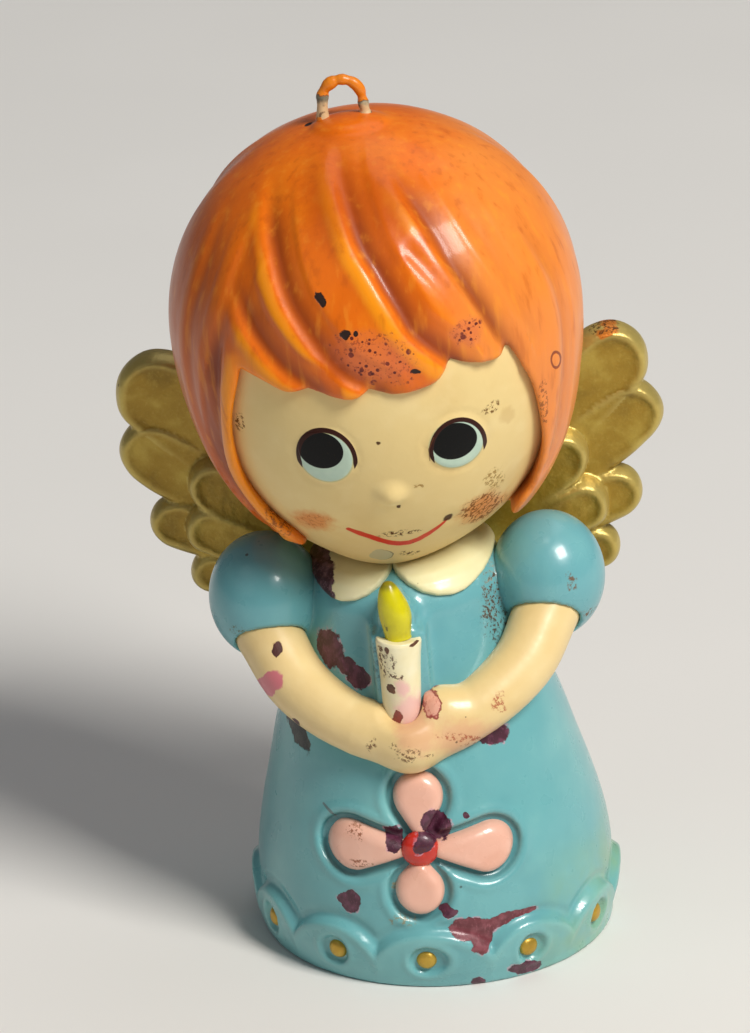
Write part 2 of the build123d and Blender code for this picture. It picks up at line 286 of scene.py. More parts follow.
class Term:
    """A node's output that can be used in sums."""

    def __init__(self, paint, socket):
        self.paint = paint
        self.socket = socket

    def __add__(self, other):
        return self.paint.math("ADD", self, other)

    def __sub__(self, other):
        return self.paint.math("SUBTRACT", self, other)

    def __mul__(self, other):
        return self.paint.math("MULTIPLY", self, other)

    __radd__ = __add__
    __rmul__ = __mul__

    def __rsub__(self, other):
        return self.paint.math("SUBTRACT", other, self)


class Paint:
    """One procedural paint. Coats go on in order, and every size is in millimetres on the figure."""

    def __init__(self, name, colour, roughness=0.3):
        self.material = bpy.data.materials.new(name)
        self.material.use_nodes = True
        self.tree = self.material.node_tree
        self.surface = self.tree.nodes["Principled BSDF"]
        inputs = {
            "Vector": Term(self, self.node("ShaderNodeTexCoord").outputs["Object"]),
            "Location": (-LEAN_SHIFT * math.cos(LEAN), 0.0, LEAN_SHIFT * math.sin(LEAN)),
            "Rotation": (0.0, LEAN, 0.0),
            "Scale": (1000.0, 1000.0, 1000.0),
        }
        self.place = Term(self, self.node("ShaderNodeMapping", inputs).outputs[0])
        split = self.node("ShaderNodeSeparateXYZ", {0: self.place})
        self.x, self.y, self.z = [Term(self, socket) for socket in split.outputs]
        self.colour = colour
        self.roughness = roughness
        self.height = 0.0
        self.ragged = (self.noise(0.9, 5.0, roughness=0.65) - 0.5) * 2.0
        # A place that drifts by up to about half a millimetre, so that blots are out of round.
        inputs = {"Vector": self.scaled(2.1, EVEN, 4.0), "Scale": 1.0, "Detail": 3.0}
        drift = Term(self, self.node("ShaderNodeTexNoise", inputs).outputs["Color"])
        drift = self.vector("MULTIPLY_ADD", drift, (1.3, 0.0, 1.3), (-0.65, 0.0, -0.65))
        self.warped = self.vector("ADD", self.place, drift)

    def put(self, socket, value):
        if isinstance(value, Term):
            self.tree.links.new(value.socket, socket)
        else:
            socket.default_value = value

    def node(self, kind, inputs=(), **settings):
        made = self.tree.nodes.new(kind)
        for key, value in settings.items():
            setattr(made, key, value)
        for key, value in dict(inputs).items():
            self.put(made.inputs[key], value)
        return made

    def math(self, operation, first, second=0.0, clamp=False):
        inputs = {0: first, 1: second}
        made = self.node("ShaderNodeMath", inputs, operation=operation, use_clamp=clamp)
        return Term(self, made.outputs[0])

    def vector(self, operation, first, second=(0.0, 0.0, 0.0), third=None, output=0):
        inputs = {0: first, 1: second}
        if third is not None:
            inputs[2] = third
        made = self.node("ShaderNodeVectorMath", inputs, operation=operation)
        return Term(self, made.outputs[output])

    def ramp(self, low, high, value):
        inputs = {"Value": value, "From Min": low, "From Max": high}
        made = self.node("ShaderNodeMapRange", inputs, interpolation_type="SMOOTHSTEP")
        return Term(self, made.outputs["Result"])

    def off(self, value, level):
        """How far value is from level."""
        return self.math("ABSOLUTE", value - level)

    def mix(self, share, first, second):
        inputs = {0: share, 6: linear(first), 7: linear(second)}
        made = self.node("ShaderNodeMix", inputs, data_type="RGBA")
        return Term(self, made.outputs[2])

    def scaled(self, size, stretch, shift):
        scale = tuple(part / size for part in stretch)
        return self.vector("MULTIPLY_ADD", self.place, scale, (shift, shift * 0.7, -shift))

    def noise(self, size, detail=2.0, stretch=EVEN, shift=0.0, roughness=0.5):
        """Cloudy values about 0.5. Size is that of one cloud, and stretch draws it out where below 1."""
        inputs = {
            "Vector": self.scaled(size, stretch, shift),
            "Scale": 1.0,
            "Detail": detail,
            "Roughness": roughness,
        }
        return Term(self, self.node("ShaderNodeTexNoise", inputs).outputs[0])

    def dots(self, size, largest, shift=0.0):
        """1 in scattered round dots, about size apart and of random radius up to largest."""
        inputs = {"Vector": self.scaled(size, EVEN, shift), "Scale": 1.0}
        cell = self.node("ShaderNodeTexVoronoi", inputs)
        random = self.node("ShaderNodeSeparateColor", {0: Term(self, cell.outputs["Color"])})
        radius = Term(self, random.outputs[0]) * (largest / size)
        gap = Term(self, cell.outputs["Distance"]) - radius + self.ragged * (0.45 * largest / size)
        return self.ramp(0.0, -0.25 * largest / size, gap)

    def attribute(self, name):
        made = self.node("ShaderNodeAttribute", attribute_name=name)
        return Term(self, made.outputs["Fac"])

    def blot(self, x, z, width, height, turn=0.0, y=-17.0, depth=24.0, place=None):
        """Grows from 0 at a place to 1 at the edge of an upright ellipse on the front, and beyond."""
        offset = self.vector("SUBTRACT", place or self.place, (x, y, z))
        if turn:
            inputs = {"Vector": offset, "Angle": math.radians(turn)}
            made = self.node("ShaderNodeVectorRotate", inputs, rotation_type="Y_AXIS")
            offset = Term(self, made.outputs[0])
        size = (1.0 / width, 1.0 / depth, 1.0 / height)
        return self.vector("LENGTH", self.vector("MULTIPLY", offset, size), output=1)

    def blots(self, places, ragged=0.3):
        """The least of several blots, out of round and with a ragged edge."""
        best = None
        for numbers in places:
            one = self.blot(*numbers, place=self.warped)
            best = one if best is None else self.math("MINIMUM", best, one)
        return best + self.ragged * ragged

    def stroke(self, points, widths):
        """Distance outside a painted line through places on the front, given with its half widths."""
        best = None
        for start, end, first, last in zip(points, points[1:], widths, widths[1:]):
            run = (end[0] - start[0], 0.0, end[1] - start[1])
            size = run[0] ** 2 + run[2] ** 2
            offset = self.vector("SUBTRACT", self.place, (start[0], 0.0, start[1]))
            offset = self.vector("MULTIPLY", offset, (1.0, 0.0, 1.0))
            along = self.vector("DOT_PRODUCT", offset, tuple(part / size for part in run), output=1)
            along = self.math("ADD", along, 0.0, clamp=True)
            part = self.node("ShaderNodeCombineXYZ", {0: along * run[0], 2: along * run[2]})
            gap = self.vector("DISTANCE", offset, Term(self, part.outputs[0]), output=1)
            gap = gap - (along * (last - first) + first)
            best = gap if best is None else self.math("MINIMUM", best, gap)
        return best

    def coat(self, mask, colour, roughness=None, height=0.0):
        """Paints where mask is 1. Height is how far this coat stands above what it covers."""
        self.colour = self.mix(mask, self.colour, colour)
        if roughness is not None:
            self.roughness = mask * roughness + (1.0 - mask) * self.roughness
        if height:
            self.height = mask * height + self.height

    def stain(self, places, colour, strength, ragged, low, high, roughness=None, height=0.0):
        """A coat within blots, from nothing at low of their size to its full strength at high."""
        share = self.ramp(low, high, self.blots(places, ragged))
        self.coat(share * strength, colour, roughness, height)

    def mottle(self, light, dark, size=7.0, amount=0.5, stretch=EVEN):
        """Uneven hand-laid paint: lighter and darker clouds and fine streaks."""
        clouds = self.noise(size, 3.0, stretch, shift=1.7)
        self.coat(self.ramp(0.5, 0.75, clouds) * amount, light)
        self.coat(self.ramp(0.5, 0.25, clouds) * amount, dark)
        streaks = self.noise(size * 0.3, 4.0, stretch, shift=8.3)
        self.coat(self.ramp(0.5, 0.8, streaks) * (amount * 0.5), light)
        self.height = self.height + self.noise(2.2, 2.0, stretch, shift=5.0) * 0.05
        self.height = self.height + self.noise(0.5, 3.0, shift=2.0) * 0.008
        self.roughness = self.roughness + (self.noise(3.0, 3.0, shift=6.0) - 0.5) * 0.22

    def chips(self, places, inside=MAROON, scratch=SCRATCHED, rim=BARE_PINK, ragged=0.32):
        """Paint lost down to the dark base, scratched inside and pale in places round the edge."""
        edge = self.blots(places, ragged)
        broken = self.ramp(0.5, 0.62, self.noise(1.3, 3.0, shift=13.0))
        self.coat(self.ramp(1.2, 1.08, edge) * broken * 0.7, rim)
        hole = self.ramp(1.05, 0.97, edge)
        self.coat(hole, inside, 0.42, -0.1)
        tone = self.ramp(0.4, 0.65, self.noise(1.1, 2.0, shift=15.0))
        self.coat(hole * tone * 0.35, scratch)
        lines = self.noise(0.4, 5.0, (1.8, 1.0, 0.5), shift=4.0, roughness=0.75)
        self.coat(hole * self.ramp(0.56, 0.68, lines) * 0.75, scratch)
        self.height = self.height + hole * lines * 0.06

    def grime_and_shade_flecks(self, places, ragged=0.6, strength=0.9, colour=GRIME):
        """Broken specks within blots: mostly dirt, and in one place on the dress painted shade."""
        area = self.ramp(1.1, 0.7, self.blots(places, ragged))
        flecks = self.noise(0.45, 4.0, shift=9.0, roughness=0.7)
        self.coat(area * self.ramp(0.49, 0.57, flecks) * strength, colour, 0.7)

    def speckle(self, size=3.2, largest=0.28, colour=GRIME, strength=0.8, shift=0.0):
        """Sparse small specks all over."""
        sparse = self.ramp(0.52, 0.62, self.noise(9.0, 2.0, shift=shift + 11.0))
        self.coat(self.dots(size, largest, shift) * sparse * strength, colour, 0.6)

    def done(self, coat=0.35, metal=0.0):
        """Joins the coats to the surface and gives the material."""
        self.put(self.surface.inputs["Base Color"], linear(self.colour))
        self.put(self.surface.inputs["Roughness"], self.roughness)
        self.surface.inputs["Coat Weight"].default_value = coat
        self.surface.inputs["Coat Roughness"].default_value = 0.12
        self.surface.inputs["Metallic"].default_value = metal
        if isinstance(self.height, Term):
            inputs = {"Strength": 1.0, "Distance": 0.001, "Height": self.height}
            made = self.node("ShaderNodeBump", inputs)
            self.tree.links.new(made.outputs[0], self.surface.inputs["Normal"])
        return self.material


# --- head ---

HEAD_Z = 73.9
FACE_RADIUS, FACE_DROP = 21.6, 28.0
HAIR_RADIUS, HAIR_DROP = 22.8, 29.2
NAPE_Z = 49.9
JAW_SHIFT = 0.035
HAIR_FULLNESS = 0.07


def egg(points, radius, drop_below, fuller=0.0):
    """Half sphere above the head's centre, drawn out below it. Fuller widens its lower right."""
    rise = points[:, 2] - HEAD_Z
    below = np.minimum(rise + 8.0, 0.0)
    across = points[:, 0] - JAW_SHIFT * below * ramp(8.0, -6.0, points[:, 0])
    across = across + fuller * below * ramp(4.0, 16.0, points[:, 0])
    rise = np.where(rise < 0, rise * radius / drop_below, rise)
    return np.sqrt(across**2 + points[:, 1] ** 2 + rise**2) - radius


NOSE = (0.3, -18.35, 59.9)
CHIN = (-1.2, -7.5, 47.4)
RAISED_EYES = [(-6.2, 65.3, 3.05, 3.5), (7.95, 65.3, 3.05, 3.3)]
MOUTH_CORNERS = [(-5.2, -14.0, 54.6), (6.3, -13.6, 54.3)]
NECK = np.array([(0.0, 0.0, 45.0), (0.0, 0.0, 56.0)])


def face_shape(points):
    face = egg(points, FACE_RADIUS, FACE_DROP)
    for x, z, half_width, half_height in RAISED_EYES:
        eye = np.hypot((points[:, 0] - x) / half_width, (points[:, 2] - z) / half_height)
        relief = 0.16 * ramp(1.08, 0.9, eye) - 0.1 * bump(eye - 1.14, 0.09)
        face = face - np.where(points[:, 1] < 0, relief, 0.0)
    face = joined(face, ball(points, NOSE, 1.25), 1.3)
    face = face - 0.7 * bump(np.linalg.norm(points - CHIN, axis=1), 6.0)
    for corner in MOUTH_CORNERS:
        face = face + 0.22 * bump(np.linalg.norm(points - corner, axis=1), 1.1)
    return joined(face, tube(points, NECK, [5.0, 5.0]), 1.5)


# Locks of hair: how far each stands proud at its right-hand edge, where it overlaps the next one, and
# that edge as (x, y, z) from the crown to its end. One below zero is proud at its left-hand edge.
LOCK_EDGES = [
    (0.8, [
        (-14.9, -13.5, 84.6), (-14.2, -16.3, 81.8), (-13.4, -17.7, 79.8), (-11.6, -19.6, 77.2),
        (-9.6, -20.9, 75.1), (-7.0, -21.9, 73.4),
    ]),
    (0.85, [
        (-9.2, -5.0, 94.4), (-10.3, -11.1, 91.2), (-10.2, -15.5, 87.6), (-9.2, -18.8, 83.5),
        (-7.7, -20.6, 80.6), (-4.3, -22.5, 75.7), (-0.2, -23.0, 73.0),
    ]),
    (1.0, [
        (-2.4, -3.7, 96.5), (-2.5, -10.6, 94.2), (-0.9, -17.4, 88.9), (0.8, -19.7, 85.8),
        (2.7, -21.3, 82.1), (4.5, -22.0, 78.8), (8.3, -21.4, 74.9),
    ]),
    (0.75, [
        (1.9, -7.8, 95.5), (4.4, -12.9, 92.4), (7.7, -16.8, 87.5), (9.8, -18.3, 83.8),
        (12.6, -18.7, 78.4), (14.3, -18.0, 74.4),
    ]),
    (0.4, [
        (3.5, -18.1, 87.7), (5.3, -18.6, 86.3), (8.2, -19.7, 82.6), (11.1, -19.9, 77.3),
    ]),
    (0.3, [
        (6.8, -10.0, 93.0), (12.0, -14.6, 87.0), (14.8, -16.1, 81.0), (16.6, -15.6, 76.0),
    ]),
    (0.35, [
        (11.5, -8.0, 90.5), (17.9, -10.5, 83.8), (20.1, -10.6, 77.8), (20.3, -10.7, 71.0),
        (17.6, -9.5, 60.0),
    ]),
    (-0.9, [
        (-15.2, -15.5, 80.8), (-16.6, -15.5, 76.0), (-17.4, -14.5, 70.0), (-17.5, -11.5, 62.0),
        (-15.6, -10.6, 57.0), (-13.1, -9.7, 53.0),
    ]),
    (0.35, [
        (-13.0, -4.0, 92.2), (-17.5, -9.0, 85.5), (-19.8, -9.4, 77.5), (-19.8, -8.4, 68.5),
        (-15.0, -5.5, 55.5),
    ]),
    (0.3, [
        (-10.0, -10.0, 91.6), (-14.0, -13.5, 86.5), (-16.2, -14.6, 81.5), (-17.8, -13.4, 76.0),
    ]),
]
BACK_LOCKS, BACK_PROUD = 11, 0.45
LOCK_REACH = 4.0
# Across a lock's edge: a lip on its near side, then a fall that recovers over a few millimetres.
LIP_HEIGHT, LIP_PLACE, LIP_WIDTH = 0.3, -1.2, 1.1
FALL_DEPTH, FALL_START, FALL_END, FALL_REACH = 1.12, -0.6, 1.3, 2.4


def back_lock(number):
    """Edge of one lock on the back of the head, from the crown to the nape."""
    turn = math.radians(75 + (number + 0.5) * 210 / BACK_LOCKS)
    line = []
    for share in (0.12, 0.3, 0.5, 0.7, 0.88):
        angle = turn + 0.35 * math.sin(3.0 * share + number)
        fall = math.pi * share
        radius = HAIR_RADIUS * math.sin(fall)
        below = HAIR_RADIUS if share < 0.5 else HAIR_DROP
        line.append((radius * math.sin(angle), -radius * math.cos(angle), HEAD_Z + below * math.cos(fall)))
    return line


def lock_relief(points):
    """How far the hair stands above its egg at each point."""
    total = np.zeros(len(points))
    edges = LOCK_EDGES + [(BACK_PROUD, back_lock(number)) for number in range(BACK_LOCKS)]
    for proud, places in edges:
        line = smooth_line(places, 4)
        near = ((points > line.min(0) - LOCK_REACH) & (points < line.max(0) + LOCK_REACH)).all(1)
        here = points[near]
        if not len(here):
            continue
        best = np.full(len(here), np.inf)
        side = np.zeros(len(here))
        share = np.zeros(len(here))
        outward = here - (0.0, 0.0, HEAD_Z)
        outward /= np.linalg.norm(outward, axis=1)[:, None]
        for number, (start, end) in enumerate(zip(line, line[1:])):
            run = end - start
            offset = here - start
            along = np.clip(offset @ run / (run @ run), 0.0, 1.0)
            gap = offset - along[:, None] * run
            gap -= (gap * outward).sum(1)[:, None] * outward
            distance = np.linalg.norm(gap, axis=1)
            closer = distance < best
            right = (np.cross(outward, run / np.linalg.norm(run)) * gap).sum(1)
            best = np.where(closer, distance, best)
            side = np.where(closer, np.sign(right) * distance, side)
            share = np.where(closer, (number + along) / (len(line) - 1), share)
        fade = ramp(0.0, 0.3, share) * ramp(LOCK_REACH, LOCK_REACH - 1.0, best)
        if proud < 0:
            side, proud = -side, -proud
        lip = LIP_HEIGHT * bump(side - LIP_PLACE, LIP_WIDTH)
        fall = ramp(FALL_START, FALL_END, side) * np.exp(-np.maximum(side, 0.0) / FALL_REACH)
        total[near] += fade * proud * (lip - FALL_DEPTH * fall)
    return total


# Edge of the hair round the face as (x, z): up the left, along four tufts, and down the right.
FACE_WINDOW = np.vstack([smooth_line(edge, 5) for edge in (
    [(-8.4, 44.0), (-10.2, 51.6), (-13.3, 55.6), (-15.8, 61.0), (-16.2, 68.0), (-14.4, 75.4)],
    [(-14.4, 75.4), (-11.9, 74.4), (-9.6, 73.5), (-7.2, 73.9)],
    [(-7.2, 73.9), (-4.8, 72.9), (-2.4, 72.7), (-0.6, 73.6)],
    [(-0.6, 73.6), (1.6, 72.7), (4.0, 72.8), (6.6, 73.5), (8.2, 75.4)],
    [(8.2, 75.4), (10.0, 74.6), (12.2, 74.2), (13.7, 74.4), (14.3, 75.2)],
    [(14.3, 75.2), (15.6, 72.4), (16.7, 68.5), (17.0, 61.2), (15.4, 55.7), (12.8, 51.6), (11.3, 44.0)],
)])
CROWN_PAD = (-0.6, -1.2, 96.2), (3.6, 2.6, 0.9)


def window_gap(points):
    """Distance outside the opening round the face, seen from the front."""
    return outline_distance(points[:, 0], points[:, 2], FACE_WINDOW)


def hair_shape(points):
    cap = egg(points, HAIR_RADIUS, HAIR_DROP, HAIR_FULLNESS) - lock_relief(points)
    cap = joined(cap, ball(points, *CROWN_PAD), 1.2)
    window = np.maximum(window_gap(points), points[:, 1] + 2.0)
    hollow = common(window, -egg(points, FACE_RADIUS - 1.5, FACE_DROP - 1.5), 0.4)
    cap = common(cap, -hollow, 0.9)
    aside = np.maximum(np.abs(points[:, 0]) - 4.0, 0.0)
    nape = NAPE_Z + 0.09 * aside * ramp(2.0, -4.0, points[:, 1])
    return common(cap, nape - points[:, 2], 0.8)


def hair_shades(points):
    """For the paint: the relief of the locks, which sets painted shade in the grooves and painted
    highlights on the ridges, and where a painted highlight brightens the hair at the left of the fringe.
    """
    x, y, z = points.T
    fringe = ramp(2.4, 1.2, window_gap(points)) * ramp(-10.0, -12.0, x) * ramp(80.0, 77.0, z)
    return {"relief": lock_relief(points), "fringe": np.where(y < -5.0, fringe, 0.0)}


def hair_paint():
    paint = Paint("hair_paint", (228, 108, 2), 0.36)
    paint.mottle((242, 132, 14), (192, 82, 0), 8.0, 0.7, (1.0, 1.0, 0.35))
    cloud = (paint.noise(5.0, 3.0, shift=21.0) - 0.5) * 8.0
    # Painted light: paler orange on the right side of the hair, where the light falls.
    paint.coat(paint.ramp(5.0, 13.0, paint.x + cloud) * 0.75, (236, 142, 60))
    # Painted shade: darker orange on the left side of the hair, turned away from the light.
    paint.coat(paint.ramp(-13.0, -18.5, paint.x + cloud * 0.4) * 0.8, (194, 92, 22))
    # Painted highlight along the hair at the left edge of the fringe.
    paint.coat(paint.attribute("fringe") * 0.85, (250, 138, 8))
    relief = paint.attribute("relief")
    # Painted shade in the grooves between locks, and painted highlights along their raised ridges.
    paint.coat(paint.ramp(0.0, -0.8, relief) * 0.9, (128, 44, 0), 0.5)
    paint.coat(paint.ramp(0.05, 0.28, relief) * 0.85, (250, 152, 12))
    brush = paint.noise(1.1, 3.0, (1.0, 1.0, 0.18), shift=7.7)
    paint.coat(paint.ramp(0.52, 0.75, brush) * 0.3, (246, 156, 44))
    paint.coat(paint.ramp(0.46, 0.25, brush) * 0.35, (172, 72, 0))
    crown = [(-3.2, 92.0, 3.4, 5.0, -6.0, -12.0, 14.0), (2.6, 91.5, 2.6, 4.5, 14.0, -12.0, 14.0)]
    paint.stain(crown, (186, 78, 0), 0.65, 0.3, 1.4, 0.3)
    worn = [(0.6, 77.2, 5.2, 3.0, -22.0), (10.3, 78.2, 1.9, 1.6)]
    paint.stain(worn, (204, 104, 66), 0.55, 0.35, 1.2, 0.5)
    area = paint.ramp(1.05, 0.8, paint.blots(worn, 0.4))
    paint.coat(area * paint.dots(1.0, 0.42, 3.0), (120, 44, 26), 0.5, -0.05)
    paint.coat(area * paint.dots(0.6, 0.26, 5.0), (96, 30, 20), 0.5)
    flecks = paint.noise(0.5, 4.0, shift=17.0, roughness=0.7)
    paint.coat(area * paint.ramp(0.55, 0.64, flecks) * 0.7, (142, 58, 34), 0.55)
    pits = [(-4.9, 83.6, 0.42, 0.75, 12.0), (-2.7, 80.2, 0.5, 0.42)]
    pits += [(-1.5, 80.1, 0.25, 0.25), (4.7, 75.3, 0.5, 0.25)]
    paint.stain(pits, (40, 20, 12), 1.0, 0.5, 1.2, 0.9, 0.6, -0.25)
    crown_pit = paint.vector("DISTANCE", paint.place, (-5.1, 0.4, 96.2), output=1)
    paint.coat(paint.ramp(0.62, 0.35, crown_pit), (34, 14, 10), 0.7, -0.2)
    ring = paint.off(paint.blot(19.4, 70.9, 0.5, 1.0, 8.0) + paint.ragged * 0.12, 1.0)
    paint.coat(paint.ramp(0.24, 0.1, ring) * 0.9, (132, 50, 12), 0.5, -0.05)
    paint.grime_and_shade_flecks([(17.6, 66.5, 0.6, 3.5), (-12.5, 55.0, 1.6, 3.0)], 0.5, 0.7, (110, 48, 20))
    paint.speckle(3.4, 0.3, (120, 48, 18), 0.8)
    paint.surface.inputs["Specular IOR Level"].default_value = 0.3
    return paint.done(0.2)


EYE_DEPTH = 60.0
# Ovals of each eye, for its white, its pupil and the arc of its lash, and the heights between which
# the ends of the lash thin out.
EYES = [
    [(-6.2, 65.2, 3.0, 3.3), (-6.65, 66.15, 2.6, 2.5), (-6.1, 65.1, 3.25, 3.85, 4.0), (63.4, 64.6)],
    [(7.95, 65.1, 3.0, 3.2), (7.75, 65.55, 2.6, 2.45, -24.0), (8.05, 64.6, 3.05, 3.75), (62.9, 64.2)],
]
SMILE = [(-4.9, 54.5), (-2.6, 53.2), (-0.6, 51.9), (1.5, 51.5), (3.6, 52.5), (5.9, 54.2)]


def eye_paint(paint, white, pupil, lash, ends):
    white, pupil, lash = [paint.blot(*oval, y=0.0, depth=EYE_DEPTH) for oval in (white, pupil, lash)]
    paint.coat(paint.ramp(1.1, 1.03, white) * 0.5, (150, 178, 140))
    shade = paint.ramp(-0.6, 1.0, paint.noise(1.6, 2.0, shift=6.6))
    bright = paint.mix(shade, (214, 230, 208), (182, 206, 188))
    paint.coat(paint.ramp(1.03, 0.99, white), bright, 0.28)
    paint.coat(paint.ramp(1.02, 0.98, pupil), (4, 4, 4), 0.12, 0.03)
    width = paint.ramp(*ends, paint.z) * 0.07
    line = paint.ramp(0.012, -0.012, paint.off(lash, 1.0) - width) * paint.ramp(0.0, 0.02, width)
    paint.coat(line, (52, 20, 12), 0.32, 0.02)


def mouth_paint(paint):
    smile = smooth_line(SMILE, 2)
    share = np.linspace(0, 1, len(smile))
    widths = np.interp(share, [0, 0.1, 0.5, 0.8, 1], [0.3, 0.38, 0.42, 0.34, 0.12])
    mouth = paint.stroke(smile.tolist(), widths.tolist()) + paint.ragged * 0.08
    paint.coat(paint.ramp(0.06, -0.06, mouth), (208, 56, 30), 0.32, 0.03)


def face_paint():
    paint = Paint("face_paint", (230, 204, 142), 0.36)
    paint.mottle((240, 219, 164), (216, 184, 120), 9.0, 0.5)
    paint.coat(paint.ramp(57.0, 49.0, paint.z) * 0.45, (212, 172, 106))
    blush = [(-8.7, 55.6, 2.5, 1.8), (9.9, 54.3, 2.7, 2.4, 25.0)]
    paint.stain(blush, (216, 134, 62), 0.9, 0.4, 1.3, 0.4)
    lines = paint.off(paint.noise(1.0, 4.0, shift=2.6), 0.5)
    area = paint.ramp(1.1, 0.8, paint.blots([(9.9, 54.3, 2.6, 2.4, 25.0)], 0.5))
    paint.coat(area * paint.ramp(0.055, 0.02, lines) * 0.9, (122, 68, 16), 0.6)
    area = paint.ramp(1.05, 0.7, paint.blots([(-8.7, 55.6, 2.1, 1.3)], 0.5))
    paint.coat(area * paint.ramp(0.03, 0.01, lines) * 0.55, (160, 88, 44), 0.6)
    for eye in EYES:
        eye_paint(paint, *eye)
    tear_edge = paint.stroke([(4.9, 63.6), (4.95, 65.2), (5.6, 66.6)], [0.04, 0.07, 0.07])
    paint.coat(paint.ramp(0.04, -0.04, tear_edge) * 0.8, (96, 52, 26))
    mouth_paint(paint)
    paint.grime_and_shade_flecks([(0.6, 53.4, 2.6, 0.6), (1.2, 49.3, 1.2, 0.6)], 0.4, 1.0, (88, 50, 18))
    dots = [(6.1, 54.5, 0.5, 0.45), (-0.3, 66.8, 0.25, 0.22), (0.95, 58.0, 0.25, 0.22)]
    paint.stain(dots, (70, 36, 16), 0.95, 0.2, 1.3, 0.8, 0.6)
    paint.grime_and_shade_flecks([(11.9, 68.3, 1.2, 0.7), (-15.3, 68.0, 0.7, 1.2)], 0.5, 0.95, (110, 74, 28))
    paint.stain([(13.6, 66.6, 0.9, 1.1)], (186, 146, 84), 0.3, 0.4, 1.2, 0.5)
    patch = paint.blots([(-1.9, 49.6, 1.4, 1.1)], 0.1)
    paint.coat(paint.ramp(1.0, 0.9, patch) * 0.7, (178, 170, 136))
    rim = paint.ramp(0.08, 0.02, paint.off(patch, 0.98)) * paint.ramp(-2.4, -0.6, paint.x)
    paint.coat(rim * 0.8, (110, 96, 70))
    paint.grime_and_shade_flecks([(11.5, 58.5, 1.0, 2.0), (3.5, 60.5, 0.8, 0.4)], 0.6, 0.8, (150, 110, 40))
    paint.speckle(3.0, 0.22, (120, 88, 40), 0.7)
    paint.surface.inputs["Specular IOR Level"].default_value = 0.16
    return paint.done(0.0)


# --- dress ---

PROFILE = [
    (0.0, -6.0), (18.4, -6.0), (19.0, 0.0), (19.9, 3.0), (20.2, 6.0), (19.9, 10.8), (18.9, 15.8),
    (17.6, 20.7), (16.3, 25.7), (14.9, 30.0), (13.3, 35.0), (11.9, 40.0), (11.2, 43.0),
    (9.4, 45.2), (5.0, 46.3), (0.0, 46.5),
]
SHOULDER_Z = 42.0
WALL = 2.6
HEM_CENTRE_X = LEAN_SHIFT - 3.7 * math.sin(LEAN)
HEM_REPEATS = 12
# Where the scallops and the valleys between them are, in degrees, if evenly spaced and as made.
HEM_EVEN = [-180, -75, -60, -45, -30, -15, 0, 15, 30, 45, 60, 75, 180]
HEM_MADE = [-181.5, -79, -65, -51, -34, -20, -4, 17, 30, 47, 62, 76, 178.5]
SCALLOP_RADIUS, SCALLOP_Z = 6.75, 0.7
STUD_Z = 3.7
FLOWER_X, FLOWER_Z, FLOWER_TURN = -0.85, 16.8, math.radians(4.5)
# Each petal: direction in degrees, reach and tip radius.
PETALS = {
    "right": (-4, 10.4, 2.75),
    "top": (91, 8.3, 2.8),
    "left": (184, 10.3, 2.75),
    "bottom": (269, 7.6, 2.75),
}
PETAL_START, PETAL_ROOT = 2.4, 1.1
BEAD_RADIUS = 2.0
RELIEF_TOP = 26.0

dress_line = np.vstack([PROFILE[:2], smooth_line(PROFILE[2:], 3)])


def plain_dress(points):
    """The dress before any relief."""
    return outline_distance(np.hypot(points[:, 0], points[:, 1]), points[:, 2], dress_line)


def hem_place(points):
    """Across and up from the middle of the nearest scallop's foot, measured level with the table."""
    x, y, up = leaned(points).T
    x = x - HEM_CENTRE_X
    pitch = 2 * np.pi / HEM_REPEATS
    angle = np.degrees(np.arctan2(x, -y))
    angle = (angle - HEM_MADE[0]) % 360 + HEM_MADE[0]
    angle = np.radians(np.interp(angle, HEM_MADE, HEM_EVEN))
    angle = (angle + pitch / 2) % pitch - pitch / 2
    return np.hypot(x, y) * np.sin(angle), up


def flower_place(points):
    """Flat place on the flower, about the middle of its bead."""
    x, z = points[:, 0] - FLOWER_X, points[:, 2] - FLOWER_Z
    c, s = math.cos(FLOWER_TURN), math.sin(FLOWER_TURN)
    return x * c - z * s, x * s + z * c


def petal_outline(name, x, z):
    direction, reach, radius = PETALS[name]
    c, s = math.cos(math.radians(direction)), math.sin(math.radians(direction))
    length = reach - radius - PETAL_START
    return drop(x * c + z * s - PETAL_START, z * c - x * s, PETAL_ROOT, radius, length)


def hem_relief(points):
    across, up = hem_place(points)
    inside = SCALLOP_RADIUS - np.hypot(across, up - SCALLOP_Z)
    raised = 0.72 * ramp(-0.15, 0.7, inside) + 0.14 * bump(inside - 0.9, 0.55)
    groove = 0.22 * bump(inside + 0.55, 0.5)
    stud = np.hypot(across, up - STUD_Z)
    recess = 0.6 * ramp(2.0, 1.35, stud) - 0.12 * bump(stud - 2.2, 0.35)
    return raised - groove - recess


def flower_relief(points):
    x, z = flower_place(points)
    gap = np.hypot(x, z) - BEAD_RADIUS
    for name in PETALS:
        gap = np.minimum(gap, petal_outline(name, x, z))
    moat = 0.8 * ramp(1.15, 0.35, gap) - 0.16 * bump(gap - 1.55, 0.45)
    return np.where(points[:, 1] < 0, -moat, 0.0)


RIB_X, RIB_HALF, RIB_TOP = -0.85, 3.1, 41.9
FLAME_WEB = (42.6, 45.2, 2.35, 1.0)


def rib_shape(points):
    """Web from the bodice to the back of the candle, and a thinner one behind the flame."""
    offset = np.abs(points[:, 0] - RIB_X)
    up = points[:, 2] - RIB_TOP + 0.3 * ramp(1.0, 3.0, offset)
    web = common(common(offset - RIB_HALF, up, 0.7), np.maximum(-points[:, 1] - 14.8, points[:, 1]), 0.6)
    low, high, first, last = FLAME_WEB
    flame = drop(points[:, 2] - low, points[:, 0] - RIB_X, first, last, high - low)
    flame = common(flame, np.abs(points[:, 1] + 12.7) - 1.3, 0.8)
    return joined(web, flame, 0.8)


def dress_relief(points):
    relief = hem_relief(points) + flower_relief(points)
    return np.where(points[:, 2] < RELIEF_TOP, relief, 0.0)


